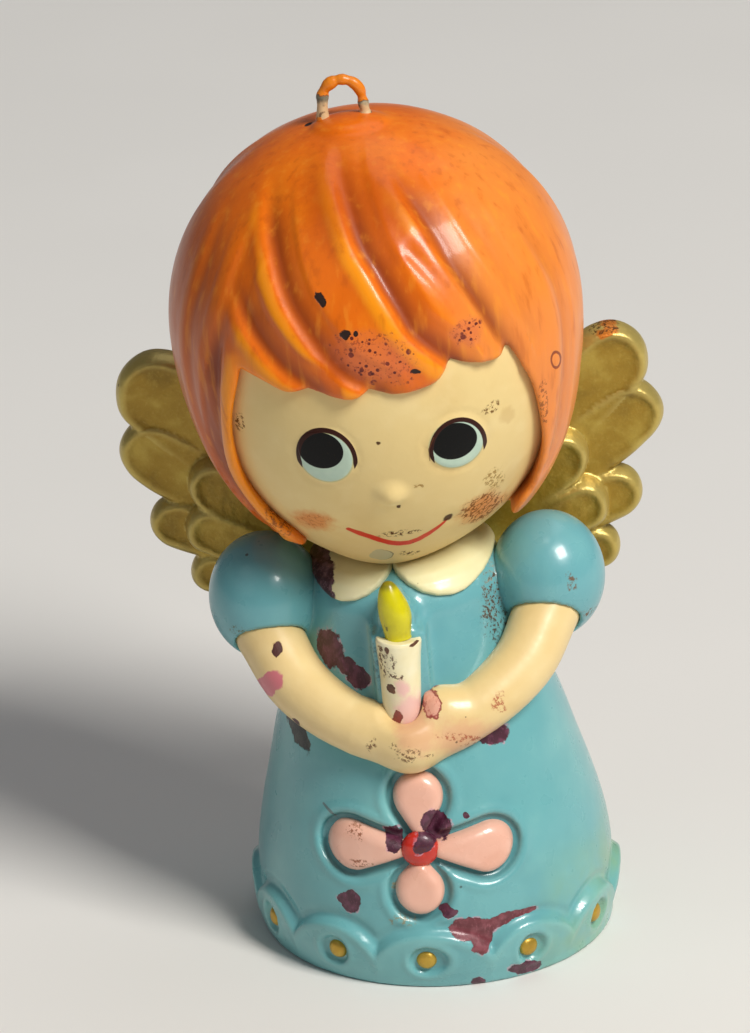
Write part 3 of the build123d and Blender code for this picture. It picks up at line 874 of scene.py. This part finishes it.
def dress_shape(points):
    plain = plain_dress(points)
    outside = joined(plain - dress_relief(points), rib_shape(points), 1.2)
    for side in SIDES.values():
        outside = joined(outside, sleeve_core(points, side) + 0.5, 1.4)
    outside = outside + 0.25 * bump(candle_gap(points), 0.5) * (points[:, 2] < 44)
    shell = common(outside, -(plain + WALL), 0.4)
    return common(shell, -leaned(points)[:, 2], 0.35)


# --- sleeves, arms, candle ---

SLEEVE_CENTRES = {-1: (-15.6, -2.0, 41.2), 1: (16.0, -2.0, 42.0)}
SLEEVE_RADII = (6.4, 6.8, 7.3)
SHOULDER_TURN = math.radians(2.5)
HANDS_X = -0.8
ARM_LINE = [(15.6, -5.4, 38.6), (12.4, -9.6, 34.0), (6.6, -13.4, 30.6), (0.0, -14.9, 28.9)]
ARM_RADII = [3.7, 3.5, 3.25, 3.7]
KNUCKLES = (3.0, -14.2, 31.6), (3.4, 2.8, 2.7)
PALM_DENT = (-1.2, -17.4, 33.5), (2.9, 2.6, 2.2)
CANDLE = (-0.85, -14.4)
CANDLE_FOOT, CANDLE_TOP = 29.5, 41.0


def candle_gap(points):
    """Distance outside the candle, for the groove that parts it from its web."""
    return np.hypot(points[:, 0] - CANDLE[0], points[:, 1] - CANDLE[1]) - 2.5


def shoulder_frame(points):
    """Undoes the turn that levels the sleeves and wings."""
    c, s = math.cos(SHOULDER_TURN), math.sin(SHOULDER_TURN)
    x, z = points[:, 0], points[:, 2] - SHOULDER_Z
    return np.stack([x * c - z * s, points[:, 1], x * s + z * c + SHOULDER_Z], 1)


def sleeve_core(points, side):
    return ball(shoulder_frame(points), SLEEVE_CENTRES[side], SLEEVE_RADII)


def arm_line(side):
    towards = 1 - np.array(ARM_LINE)[:, 0] / ARM_LINE[0][0]
    line = np.array(ARM_LINE)
    line[:, 0] = side * line[:, 0] + HANDS_X * towards
    return smooth_line(line, 6)


def arm_shape(points, side):
    line = arm_line(side)
    ends = range(len(ARM_RADII))
    radii = np.interp(np.linspace(0, ends[-1], len(line)), ends, ARM_RADII)
    return tube(points, line, radii)


def sleeve_shape(points, side):
    puff = sleeve_core(points, side)
    puff = common(puff, -(arm_shape(points, side) - 0.05), 0.5)
    return common(puff, -(plain_dress(points) + 0.6), 0.3)


def arms_shape(points):
    arms = joined(arm_shape(points, -1), arm_shape(points, 1), 1.6)
    arms = joined(arms, ball(points, *KNUCKLES), 1.2)
    arms = common(arms, -ball(points, *PALM_DENT), 1.0)
    x, y = CANDLE
    stick = np.hypot(points[:, 0] - x, points[:, 1] - y) - 2.1
    stick = np.maximum(stick, CANDLE_FOOT - points[:, 2])
    arms = common(arms, -(plain_dress(points) + 0.8), 0.3)
    return common(arms, -stick, 0.3)


def teal_paint(name):
    paint = Paint(name, (106, 172, 176), 0.3)
    paint.mottle((128, 190, 188), (84, 150, 158), 11.0, 0.55)
    paint.coat(paint.ramp(18.0, 36.0, paint.z) * 0.3, (100, 160, 176))
    return paint


def dress_paint():
    paint = teal_paint("dress_paint")
    tint = paint.ramp(6.0, 20.0, paint.x) * paint.ramp(16.0, 2.0, paint.z)
    paint.coat(tint * 0.8 * paint.ramp(0.3, 0.7, paint.noise(6.0, 3.0, shift=4.4)), (138, 172, 116))
    # Painted shade in the sunk parts of the relief, and painted highlights on its raised rims.
    paint.coat(paint.ramp(-0.15, -0.6, paint.attribute("relief")) * 0.55, (46, 104, 112))
    paint.coat(paint.ramp(0.5, 0.95, paint.attribute("relief")) * 0.25, (150, 206, 200))
    paint.chips([
        (-8.8, 37.8, 1.7, 2.1), (-7.2, 36.3, 1.3, 0.9), (-5.8, 35.4, 1.35, 1.25),
        (7.9, 28.1, 2.6, 1.25, -35.0), (1.2, 19.2, 1.4, 2.0, 35.0), (-3.7, 18.1, 0.95, 1.4),
        (1.5, 9.4, 1.05, 0.75, -20.0), (-9.3, 10.6, 1.2, 1.15), (4.4, 19.9, 0.36, 0.36),
        (9.3, 0.4, 1.9, 0.85, -10.0), (3.9, 0.1, 0.95, 0.6),
    ])
    hem_chip = [(4.2, 7.0, 2.7, 1.2, -8.0), (4.9, 5.6, 1.3, 1.5)]
    hem_chip += [(8.9, 7.4, 2.6, 0.5, -8.0), (7.0, 7.1, 1.6, 0.7)]
    paint.chips(hem_chip, (106, 38, 48), (166, 96, 106))
    paint.chips([(-13.5, 28.0, 1.1, 2.3, 25.0)], (20, 24, 22), (80, 84, 74), (60, 96, 96))
    paint.grime_and_shade_flecks([(9.8, 41.4, 1.3, 3.6)], 0.9, 0.8, (196, 186, 160))
    dirt = [(9.9, 40.4, 1.7, 4.4), (11.0, 36.2, 0.8, 2.4), (-11.0, 33.0, 0.8, 1.6)]
    paint.grime_and_shade_flecks(dirt, 0.9, 0.95, (62, 42, 26))
    # Painted shade: dark teal flecks along the candle's left side, and a short strip of them by the hands.
    paint.grime_and_shade_flecks([(-3.6, 38.0, 0.4, 4.0), (2.6, 33.0, 2.0, 0.5)], 0.6, 0.5, (40, 52, 46))
    scratch = paint.stroke([(-11.2, 21.0), (-10.5, 20.4), (-10.0, 19.6)], [0.1, 0.16, 0.08])
    paint.coat(paint.ramp(0.08, 0.0, scratch) * 0.8, (96, 104, 104))
    paint.grime_and_shade_flecks([(-3.4, 8.6, 1.8, 0.8), (-4.0, 12.5, 0.6, 0.6)], 0.7, 0.7, (140, 120, 70))
    paint.speckle(4.0, 0.24, (52, 66, 58), 0.8)
    return paint.done()


def sleeve_paint():
    paint = teal_paint("sleeve_paint")
    paint.grime_and_shade_flecks([(18.6, 42.6, 0.6, 1.4, 15.0), (20.2, 37.9, 0.9, 0.6), (17.6, 39.6, 0.5, 0.5)], 0.7)
    paint.grime_and_shade_flecks([(-18.8, 40.4, 1.0, 0.8), (-20.4, 38.6, 0.4, 0.4)], 0.7, 0.8, (86, 92, 50))
    paint.speckle(3.4, 0.22, (46, 58, 54), 0.8)
    return paint.done()


def skin_paint():
    paint = Paint("skin_paint", (232, 204, 144), 0.36)
    paint.mottle((242, 220, 166), (216, 180, 114), 7.0, 0.5)
    pink = [(6.5, 28.2, 6.0, 2.6, -28.0), (0.2, 30.6, 2.6, 2.4)]
    paint.stain(pink, (222, 156, 124), 0.55, 0.4, 1.3, 0.5)
    paint.stain([(-15.9, 34.9, 1.0, 2.4, -42.0, -8.0)], (212, 120, 128), 1.0, 0.1, 1.05, 0.9)
    sore = [(2.1, 33.2, 1.0, 1.15, 20.0)]
    paint.chips(sore, (228, 166, 142), (186, 66, 52), (150, 56, 50), 0.6)
    rim = paint.off(paint.blots(sore, 0.6), 1.0)
    paint.coat(paint.ramp(0.16, 0.05, rim) * 0.85, (150, 40, 36))
    chips = [(-14.7, 38.7, 0.55, 0.7), (-13.1, 31.2, 0.5, 0.6, 30.0)]
    paint.chips(chips, (74, 28, 20), (96, 40, 30), (150, 90, 60))
    worn = [(5.0, 29.3, 2.8, 0.6, -24.0), (9.5, 32.2, 1.0, 1.1), (7.0, 27.0, 2.6, 0.5, -30.0)]
    paint.grime_and_shade_flecks(worn, 0.9, 0.85, (172, 78, 40))
    dirt = [(-4.9, 29.6, 0.6, 0.8), (-1.0, 28.6, 1.4, 1.0), (-2.6, 29.6, 0.5, 0.5), (1.4, 28.0, 0.6, 0.4)]
    paint.grime_and_shade_flecks(dirt, 0.8)
    paint.speckle(2.4, 0.26, (104, 68, 30), 0.85, 2.0)
    paint.speckle(3.0, 0.2, (120, 100, 40), 0.7, 6.0)
    return paint.done(0.25)


def collar_paint():
    paint = Paint("collar_paint", (232, 226, 178), 0.42)
    paint.mottle((242, 234, 194), (220, 204, 148), 6.0, 0.4)
    bare = [(-9.6, 45.4, 2.1, 2.1, 0.0, -6.0, 9.0), (-8.6, 44.0, 1.0, 1.4, 0.0, -7.5, 9.0)]
    paint.chips(bare, (60, 26, 36), (176, 136, 146), (140, 110, 100), 0.3)
    paint.speckle(2.6, 0.22, (130, 110, 60), 0.7, 1.0)
    return paint.done(0.25)


def candle_paint():
    paint = Paint("candle_paint", (240, 230, 188), 0.38)
    paint.mottle((248, 242, 214), (224, 204, 146), 4.0, 0.55)
    paint.stain([(-0.3, 32.4, 1.7, 2.5), (-0.9, 35.6, 0.8, 1.3)], (240, 190, 182), 0.9, 0.5, 1.35, 0.5)
    dirt = [(-2.2, 38.8, 0.9, 1.3, -15.0), (-1.9, 37.3, 0.7, 0.6), (-1.2, 37.0, 0.8, 0.4)]
    paint.grime_and_shade_flecks([*dirt, (-2.9, 39.0, 0.4, 2.0)], 0.7, 1.0, (84, 50, 26))
    chips = [(-2.2, 35.4, 0.5, 0.6, -20.0), (-2.1, 40.4, 0.3, 0.5), (0.9, 40.5, 0.5, 0.2)]
    paint.chips(chips, (84, 48, 24), (130, 80, 50), (190, 150, 110), 0.6)
    red = [(-1.9, 32.0, 0.5, 1.1, -20.0)]
    paint.chips(red, (150, 66, 56), (110, 50, 40), (210, 150, 130), 0.6)
    paint.speckle(2.0, 0.2, (120, 90, 50), 0.7)
    return paint.done(0.2)


def flame_paint():
    paint = Paint("flame_paint", (206, 196, 0), 0.3)
    paint.mottle((222, 212, 10), (156, 144, 0), 3.0, 0.7)
    paint.coat(paint.ramp(46.6, 47.4, paint.z) * 0.7, (84, 76, 20))
    paint.grime_and_shade_flecks([(-1.9, 42.8, 0.3, 0.6)], 0.4, 0.8, (70, 66, 16))
    return paint.done(0.2)


def petal_paint():
    paint = Paint("petal_paint", (233, 180, 158), 0.28)
    paint.mottle((240, 196, 176), (216, 156, 130), 5.0, 0.45)
    paint.chips([(1.2, 19.3, 1.4, 2.0, 35.0), (-3.7, 18.1, 0.95, 1.4), (1.6, 9.6, 1.0, 0.7, -20.0)])
    paint.grime_and_shade_flecks([(-8.0, 18.7, 1.0, 0.9), (-7.6, 15.2, 1.4, 0.6)], 0.5, 0.9, (140, 78, 44))
    paint.speckle(2.0, 0.22, (150, 90, 70), 0.8)
    return paint.done(0.4)


def bead_paint():
    paint = Paint("bead_paint", (200, 40, 22), 0.24)
    paint.mottle((222, 62, 34), (150, 26, 18), 2.0, 0.5)
    paint.chips([(0.1, 18.2, 1.9, 1.0, 30.0)], ragged=0.3)
    paint.grime_and_shade_flecks([(-0.6, 17.6, 0.9, 0.5)], 0.5, 0.7, (90, 30, 10))
    return paint.done(0.4)


def gold_paint(name, colour, feathered=False):
    paint = Paint(name, colour, 0.4)
    paint.mottle((190, 164, 72), (124, 98, 24), 4.0, 0.7)
    flakes = paint.noise(0.35, 3.0, shift=3.0)
    paint.coat(paint.ramp(0.5, 0.75, flakes) * 0.15, (204, 180, 92))
    paint.height = paint.height + flakes * 0.03 + paint.noise(1.4, 4.0, shift=30.0) * 0.12
    if feathered:
        # Painted shade in the creases between feathers, and a painted highlight on the raised rims of
        # their tips.
        paint.coat(paint.ramp(0.22, 0.0, paint.attribute("inside")) * 0.85, (60, 46, 10))
        paint.coat(paint.attribute("tip") * 0.5, (222, 204, 124))
        orange = [(25.0, 63.8, 1.3, 0.7, 10.0, 11.0, 12.0)]
        paint.stain(orange, (214, 120, 30), 0.9, 0.6, 1.1, 0.7)
        paint.grime_and_shade_flecks([(24.6, 64.2, 2.0, 0.8, 0.0, 11.0, 12.0)], 0.5, 0.9, (70, 44, 12))
    paint.speckle(3.0, 0.24, (70, 52, 20), 0.7)
    return paint.done(0.1, 0.5)


# --- collar ---

# Length of the collar down the shoulder from the neck's foot, by angle round from its notch.
COLLAR_ANGLES = [0, 4, 9, 16, 24, 33, 41, 53, 68, 83, 120, 165, 176, 180]
COLLAR_REACH = [2.0, 3.6, 5.0, 6.1, 6.8, 7.15, 7.05, 6.4, 5.7, 5.4, 5.6, 5.6, 4.2, 3.4]
COLLAR_NOTCH_X = -0.95
COLLAR_ROUND = 0.38
shoulder_line = smooth_line(PROFILE[10:15], 6)[::-1]


def shoulder_run(points):
    """Length down the shoulder from the neck's foot to the nearest place on the dress."""
    radius, height = np.hypot(points[:, 0], points[:, 1]), points[:, 2]
    best, found, before = np.full(len(points), np.inf), np.zeros(len(points)), 0.0
    for (r0, z0), (r1, z1) in zip(shoulder_line, shoulder_line[1:]):
        length = math.hypot(r1 - r0, z1 - z0)
        share = ((radius - r0) * (r1 - r0) + (height - z0) * (z1 - z0)) / length**2
        share = np.clip(share, 0.0, 1.0)
        gap = np.hypot(radius - r0 - share * (r1 - r0), height - z0 - share * (z1 - z0))
        found = np.where(gap < best, before + share * length, found)
        best = np.minimum(best, gap)
        before += length
    return found


def collar_shape(points, side):
    """One lobe: a thin sheet on the shoulder, with a rounded edge and a soft swell."""
    skin = plain_dress(points)
    across = (points[:, 0] - COLLAR_NOTCH_X) * side
    angle = np.degrees(np.arctan2(across, -points[:, 1]))
    reach = np.interp(np.abs(angle), COLLAR_ANGLES, COLLAR_REACH)
    edge = np.maximum(shoulder_run(points) - reach, 0.02 - across)
    sheet = np.abs(skin - 0.15 - 0.15 * ramp(0.0, -2.5, edge)) - 0.6
    return trimmed(edge, sheet, COLLAR_ROUND)


# --- wings ---

# Tip x, tip z, tip radius, root x, root z, root radius, and the layer: 0 behind, 1 in front.
FEATHERS = {
    -1: [
        (25.5, 59.4, 5.3, 13.0, 49.5, 6.0, 0),
        (26.7, 52.4, 4.2, 14.0, 44.0, 5.0, 0),
        (24.6, 43.8, 3.3, 13.0, 40.0, 4.0, 0),
        (20.9, 37.6, 2.8, 12.0, 37.0, 3.0, 0),
        (19.3, 49.0, 3.6, 9.0, 43.5, 4.5, 1),
        (20.4, 43.8, 3.2, 9.5, 39.0, 3.5, 1),
    ],
    1: [
        (25.4, 60.7, 4.6, 13.0, 50.0, 6.0, 0),
        (27.2, 54.2, 4.2, 14.0, 45.0, 5.0, 0),
        (25.2, 44.7, 3.4, 13.0, 41.0, 4.0, 0),
        (22.9, 38.3, 2.9, 12.0, 37.5, 3.0, 0),
        (18.8, 50.3, 3.6, 9.0, 44.5, 4.5, 1),
        (21.2, 44.4, 3.3, 9.5, 40.0, 3.5, 1),
    ],
}
FEATHER_HALF = 1.6
FEATHER_ROUND = 0.9
FEATHER_SOFT = 1.3
WING_LAYER_Y = (12.4, 10.6)
WING_SWEEP = math.radians(8.0)
WING_HINGE_X = 13.0
WING_SHIFT_X = -1.2


def wing_frame(points, side):
    """Undoes a wing's place: level, mirrored, shifted and swept back about its hinge."""
    level = shoulder_frame(points)
    x = (level[:, 0] - WING_SHIFT_X) * side
    c, s = math.cos(WING_SWEEP), math.sin(WING_SWEEP)
    dx, dy = x - WING_HINGE_X, level[:, 1] - WING_LAYER_Y[0]
    return np.stack([dx * c + dy * s + WING_HINGE_X, dy * c - dx * s + WING_LAYER_Y[0], level[:, 2]], 1)


def feather_parts(place, numbers, order):
    """Distance to one plump feather, how far inside its outline, and how near its tip."""
    tip_x, tip_z, tip_radius, root_x, root_z, root_radius, layer = numbers
    length = math.hypot(tip_x - root_x, tip_z - root_z)
    ux, uz = (tip_x - root_x) / length, (tip_z - root_z) / length
    dx, dz = place[:, 0] - root_x, place[:, 2] - root_z
    along = dx * ux + dz * uz
    aside = dz * ux - dx * uz
    flat = drop(along, aside, root_radius, tip_radius, length)
    flat = flat + 0.12 * np.sin(0.9 * along + 2.0 * order) * np.sin(0.8 * aside + order)
    tipness = ramp(length - tip_radius * 1.9, length + tip_radius * 0.6, along)
    # The front swells at the tip and dips a little behind it, and the edge falls away in a soft round.
    swell = 0.3 * tipness * bump(flat + 1.0, 0.6)
    dip = 0.06 * ramp(-1.2, -3.0, flat)
    slope = 0.035 * (along - length) - 0.1 * order * (layer == 0)
    middle = WING_LAYER_Y[layer]
    front = middle - FEATHER_HALF - swell + dip - slope
    fallen = np.clip((flat + FEATHER_SOFT) / FEATHER_SOFT, 0.0, 1.0)
    front = front + 1.2 * (1.0 - np.sqrt(1.0 - 0.98 * fallen**2))
    depth = np.maximum(front - place[:, 1], place[:, 1] - middle - FEATHER_HALF)
    return trimmed(flat, depth, FEATHER_ROUND), -flat, tipness


def wing_shape(points, side):
    place = wing_frame(points, side)
    best = np.full(len(points), np.inf)
    for order, numbers in enumerate(FEATHERS[side]):
        best = joined(best, feather_parts(place, numbers, order)[0], 0.25)
    best = common(best, -egg(points, FACE_RADIUS - 0.5, FACE_DROP - 0.5), 0.2)
    return common(best, -(plain_dress(points) + 0.8), 0.2)


def wing_shades(points, side):
    """For the painted shade in the feather creases and the painted highlight on the tips: how far from a
    feather's edge, and how near a raised tip's rim.
    """
    place = wing_frame(points, side)
    best = np.full(len(points), np.inf)
    inside = np.zeros(len(points))
    tip = np.zeros(len(points))
    for order, numbers in enumerate(FEATHERS[side]):
        body, depth, tipness = feather_parts(place, numbers, order)
        closer = body < best
        inside = np.where(closer, np.maximum(depth, 1.6 * tipness), inside)
        tip = np.where(closer, tipness * ramp(1.7, 0.7, depth), tip)
        best = np.minimum(best, body)
    return {"inside": inside / 2.0, "tip": tip}


# --- flower, studs, candle ---


def petal_shape(points, name):
    x, z = flower_place(points)
    bead = np.hypot(x, z) - BEAD_RADIUS + 0.3
    skin = plain_dress(points)
    dome = common(skin - 0.5, petal_outline(name, x, z), 1.5)
    return common(common(dome, -bead, 0.3), -(skin + 1.2), 0.1)


def petal_mesh(name):
    angle = math.radians(PETALS[name][0])
    half, middle = 6.0, np.array([FLOWER_X + 6.0 * math.cos(angle), FLOWER_Z + 6.0 * math.sin(angle)])
    (x0, z0), (x1, z1) = middle - half, middle + half
    return solid(lambda points: petal_shape(points, name), (x0, -22.0, z0), (x1, -14.0, z1), 0.2)


BEAD_PROFILE = [
    (0.0, -1.4), (1.5, -1.4), (2.05, -0.9), (2.08, -0.3), (1.85, 0.15), (1.35, 0.5),
    (0.7, 0.72), (0.0, 0.8),
]
BEAD_Y = -18.95
STUD_PROFILE = [
    (0.0, -0.9), (1.0, -0.9), (1.2, -0.5), (1.18, -0.05), (0.98, 0.35), (0.56, 0.6), (0.0, 0.68),
]
CANDLE_PROFILE = [
    (0.0, CANDLE_FOOT + 0.1), (1.9, CANDLE_FOOT + 0.1), (2.05, CANDLE_FOOT + 0.4), (2.1, 32.0),
    (2.22, 35.0), (2.36, 38.0), (2.52, 40.3), (2.5, 40.75), (2.3, CANDLE_TOP),
    (1.5, CANDLE_TOP - 0.05), (0.0, CANDLE_TOP - 0.05),
]
FLAME_PROFILE = [
    (0.0, 40.9), (1.42, 40.9), (1.5, 41.3), (1.64, 42.2), (1.78, 43.3), (1.7, 44.5),
    (1.42, 45.7), (1.05, 46.7), (0.62, 47.4), (0.25, 47.6), (0.0, 47.62),
]


def bead_mesh():
    points, quads = revolved(BEAD_PROFILE, 48, 4)
    x, y, z = points.T
    return np.stack([x + FLOWER_X, BEAD_Y - z, y + FLOWER_Z], 1), quads


def studs_mesh():
    """One stud on each scallop, facing level outward."""
    stud, quads = revolved(STUD_PROFILE, 28, 4)
    middle = np.array([HEM_CENTRE_X, 0.0, STUD_Z])
    studs = []
    for number in range(HEM_REPEATS):
        turn = math.radians(np.interp(number * 360 / HEM_REPEATS - 150, HEM_EVEN, HEM_MADE))
        right = np.array([math.cos(turn), math.sin(turn), 0.0])
        out = np.array([math.sin(turn), -math.cos(turn), 0.0])
        reach = middle + np.linspace(17, 23, 241)[:, None] * out
        foot = reach[np.argmin(np.abs(plain_dress(upright(reach))))]
        axes = np.stack([right, (0.0, 0.0, 1.0), out])
        studs.append(upright(foot + stud @ axes))
    return np.vstack(studs), np.vstack([quads + number * len(stud) for number in range(HEM_REPEATS)])


def candle_mesh():
    """Slightly uneven in its section, with its top sheared and its foot to the left."""
    points, quads = revolved(CANDLE_PROFILE, 72, 5)
    turn = np.arctan2(points[:, 1], points[:, 0])
    uneven = 1 + 0.012 * np.sin(3 * turn + points[:, 2] * 0.5) + 0.01 * np.sin(5 * turn - points[:, 2])
    points[:, :2] *= uneven[:, None]
    points[:, 2] -= 0.1 * points[:, 0] * ramp(37.0, 41.0, points[:, 2])
    points[:, 0] -= 0.04 * (CANDLE_TOP - points[:, 2])
    return points + (*CANDLE, 0.0), quads


def flame_mesh():
    """Leans to the left toward its tip."""
    points, quads = revolved(FLAME_PROFILE, 64, 5)
    points[:, 0] -= 0.5 * ramp(42.5, 48.0, points[:, 2])
    turn = np.arctan2(points[:, 1], points[:, 0])
    points[:, :2] *= (1 + 0.02 * np.sin(4 * turn + points[:, 2]))[:, None]
    return points + (*CANDLE, 0.0), quads


# --- the pieces ---


def pair(title, shape, box, cell, material, slot, node, shades=None):
    """A piece on each side, of a shape that is told its side. The box spans x, y and z on the right."""
    across, *others = box
    for name, side in SIDES.items():
        low, high = zip(sorted(side * end for end in across), *others)
        mesh_data = solid(lambda points: shape(points, side), low, high, cell)
        more = shades(mesh_data[0], side) if shades else {}
        piece(f"{title}_{name}", mesh_data, material, slot, [f"{node}_{name}"], **more)


dress = solid(dress_shape, (-22.5, -22.5, -2.5), (22.5, 22.5, 47.5), 0.36)
nodes = ["dress_shell", "hem_scallop_band"]
piece("painted_dress", dress, dress_paint(), "dress_paint", nodes, relief=dress_relief(dress[0]))

box = (9.0, 24.0), (-11.0, 7.5), (32.0, 52.0)
pair("puffed_sleeve", sleeve_shape, box, 0.34, sleeve_paint(), "dress_paint", "sleeve")

arms = solid(arms_shape, (-21.0, -20.0, 23.0), (21.0, 0.0, 44.0), 0.3)
piece("arms_and_hands", arms, skin_paint(), "skin_paint", ["forearm_left", "forearm_right"])

box = (-1.8, 13.5), (-13.5, 13.5), (40.0, 48.5)
pair("rounded_collar", collar_shape, box, 0.26, collar_paint(), "collar_paint", "collar")

pink = petal_paint()
for name in PETALS:
    piece(f"raised_petal_{name}", petal_mesh(name), pink, "petal_paint", [f"flower_petal_{name}"])
piece("flower_bead", bead_mesh(), bead_paint(), "red_paint", ["flower_centre_bead"])

stud_gold = gold_paint("stud_gold", (196, 156, 56))
piece("gold_studs", studs_mesh(), stud_gold, "gold_paint", ["hem_studs"])
piece("candle", candle_mesh(), candle_paint(), "candle_paint", ["candle_stick"])
piece("flame", flame_mesh(), flame_paint(), "flame_paint", ["candle_flame"])

head = solid(face_shape, (-22.5, -22.5, 44.5), (22.5, 22.5, 96.5), 0.45)
nodes = ["head_shell", "pupil_left", "pupil_right", "eye_white_left", "eye_white_right"]
piece("face", head, face_paint(), "skin_paint", nodes)

hair = solid(hair_shape, (-24.5, -24.5, 49.0), (24.5, 24.5, 98.5), 0.34)
piece("hair", hair, hair_paint(), "hair_paint", ["hair_cap"], **hair_shades(hair[0]))

box = (3.0, 34.0), (6.0, 19.0), (30.0, 68.0)
wing_gold = gold_paint("wing_gold", (160, 128, 38), feathered=True)
pair("gold_wing", wing_shape, box, 0.34, wing_gold, "gold_paint", "wing", wing_shades)


# --- hanging loop ---


def wire_paint():
    paint = Paint("wire_metal", (124, 124, 104), 0.5)
    paint.mottle((158, 152, 128), (84, 78, 62), 1.6, 0.6)
    cloud = (paint.noise(1.5, 4.0, shift=12.0) - 0.5) * 2.4
    dirty = paint.ramp(98.6, 97.8, paint.z + paint.x * 0.2 + cloud)
    paint.coat(dirty, (214, 184, 138), 0.5, 0.06)
    rust = paint.ramp(0.54, 0.62, paint.noise(1.1, 4.0, shift=2.0))
    paint.coat(rust * 0.8, (96, 60, 36), 0.7)
    orange = paint.math("MAXIMUM", paint.z + paint.x * 0.27 + cloud - 98.7, 96.7 - paint.z + cloud)
    paint.coat(paint.ramp(-0.1, 0.1, orange), (224, 126, 20), 0.35, 0.1)
    return paint.done(0.0)


LOOP_X, LOOP_TOP, LOOP_HALF = -1.1, 98.9, 2.15
# Right-hand leg as (x from the loop's middle, z), from inside the hair up to the arch.
LOOP_LEG = [
    (4.1, 91.0), (2.9, 91.0), (2.45, 91.2), (2.35, 91.9), (2.35, 95.5), (2.3, 97.4),
    (LOOP_HALF, LOOP_TOP),
]


def loop_line():
    turns = np.linspace(0.0, math.pi, 13)[1:-1]
    arch = [(LOOP_HALF * math.cos(turn), LOOP_TOP + LOOP_HALF * math.sin(turn)) for turn in turns]
    flat = [*LOOP_LEG, *arch, *[(-x, z) for x, z in LOOP_LEG[::-1]]]
    return smooth_line([(x + LOOP_X, 0.0, z) for x, z in flat], 2)


def loop_shape(points):
    """Bent wire, thickened unevenly by the paint that has run round it and gathered at its feet."""
    line = loop_line()
    across, height = line[:, 0], line[:, 2]
    lumps = 0.07 * np.sin(height * 4.1 + across) + 0.05 * np.sin(across * 5.3)
    radii = 0.56 + 0.08 * ramp(98.5, 100.5, height) + np.where(height > 95.5, lumps, 0.0)
    radii += 0.22 * bump(np.abs(across - LOOP_X) - 2.4, 0.5) * bump(height - 96.3, 0.9)
    return tube(points, line, radii)


loop = solid(loop_shape, (-6.6, -1.4, 89.5), (4.4, 1.4, 102.5), 0.14)
piece("wire_loop", loop, wire_paint(), "wire", ["hanging_loop"])


# --- room ---


def floor():
    reach = 3.0
    corners = [(-reach, -reach, 0), (reach, -reach, 0), (reach, reach, 0), (-reach, reach, 0)]
    mesh = bpy.data.meshes.new("floor")
    mesh.from_pydata(corners, [], [(0, 1, 2, 3)])
    paint = Paint("floor_paint", (228, 226, 222), 0.75)
    paint.coat(paint.ramp(0.4, 0.6, paint.noise(60.0, 2.0)) * 0.2, (234, 232, 228))
    mesh.materials.append(paint.done(0.0))
    made = bpy.data.objects.new("floor", mesh)
    bpy.context.scene.collection.objects.link(made)


def lamp(name, azimuth, elevation, distance, size, power, colour=(1.0, 1.0, 1.0)):
    """Square soft light aimed at the middle of the figure."""
    a, e = math.radians(azimuth), math.radians(elevation)
    target = Vector((0.0, 0.0, 0.05))
    way = Vector((math.sin(a) * math.cos(e), -math.cos(a) * math.cos(e), math.sin(e)))
    light = bpy.data.lights.new(name, "AREA")
    light.size, light.energy, light.color = size, power, colour
    made = bpy.data.objects.new(name, light)
    made.location = target + way * distance
    made.rotation_mode = "QUATERNION"
    made.rotation_quaternion = way.to_track_quat("Z", "Y")
    bpy.context.scene.collection.objects.link(made)


def camera():
    """Looks down at the figure from the photograph's angle, turned slightly about its own axis."""
    place = Vector((0.0057, -0.65, 0.3312))
    aim = Vector((-0.0052, 0.0, 0.04897))
    roll = math.radians(-1.71)
    forward = (aim - place).normalized()
    level = forward.cross(Vector((0, 0, 1))).normalized()
    up = level.cross(forward)
    right = level * math.cos(roll) + up * math.sin(roll)
    above = up * math.cos(roll) - level * math.sin(roll)
    data = bpy.data.cameras.new("camera")
    data.sensor_width, data.lens = 36.0, 221.3
    made = bpy.data.objects.new("camera", data)
    made.matrix_world = Matrix.Translation(place) @ Matrix((right, above, -forward)).transposed().to_4x4()
    bpy.context.scene.collection.objects.link(made)
    bpy.context.scene.camera = made


floor()
lamp("key", 46.0, 48.0, 1.5, 0.5, 24.0, (1.0, 0.97, 0.92))
lamp("fill", -50.0, 35.0, 1.8, 1.4, 1.6, (0.93, 0.96, 1.0))
lamp("top", 160.0, 65.0, 1.6, 1.0, 3.0)
world = bpy.data.worlds.new("studio")
world.use_nodes = True
world.node_tree.nodes["Background"].inputs["Color"].default_value = (0.9, 0.93, 1.0, 1.0)
world.node_tree.nodes["Background"].inputs["Strength"].default_value = 0.13
bpy.context.scene.world = world
bpy.context.scene.view_settings.view_transform = "Standard"
camera()
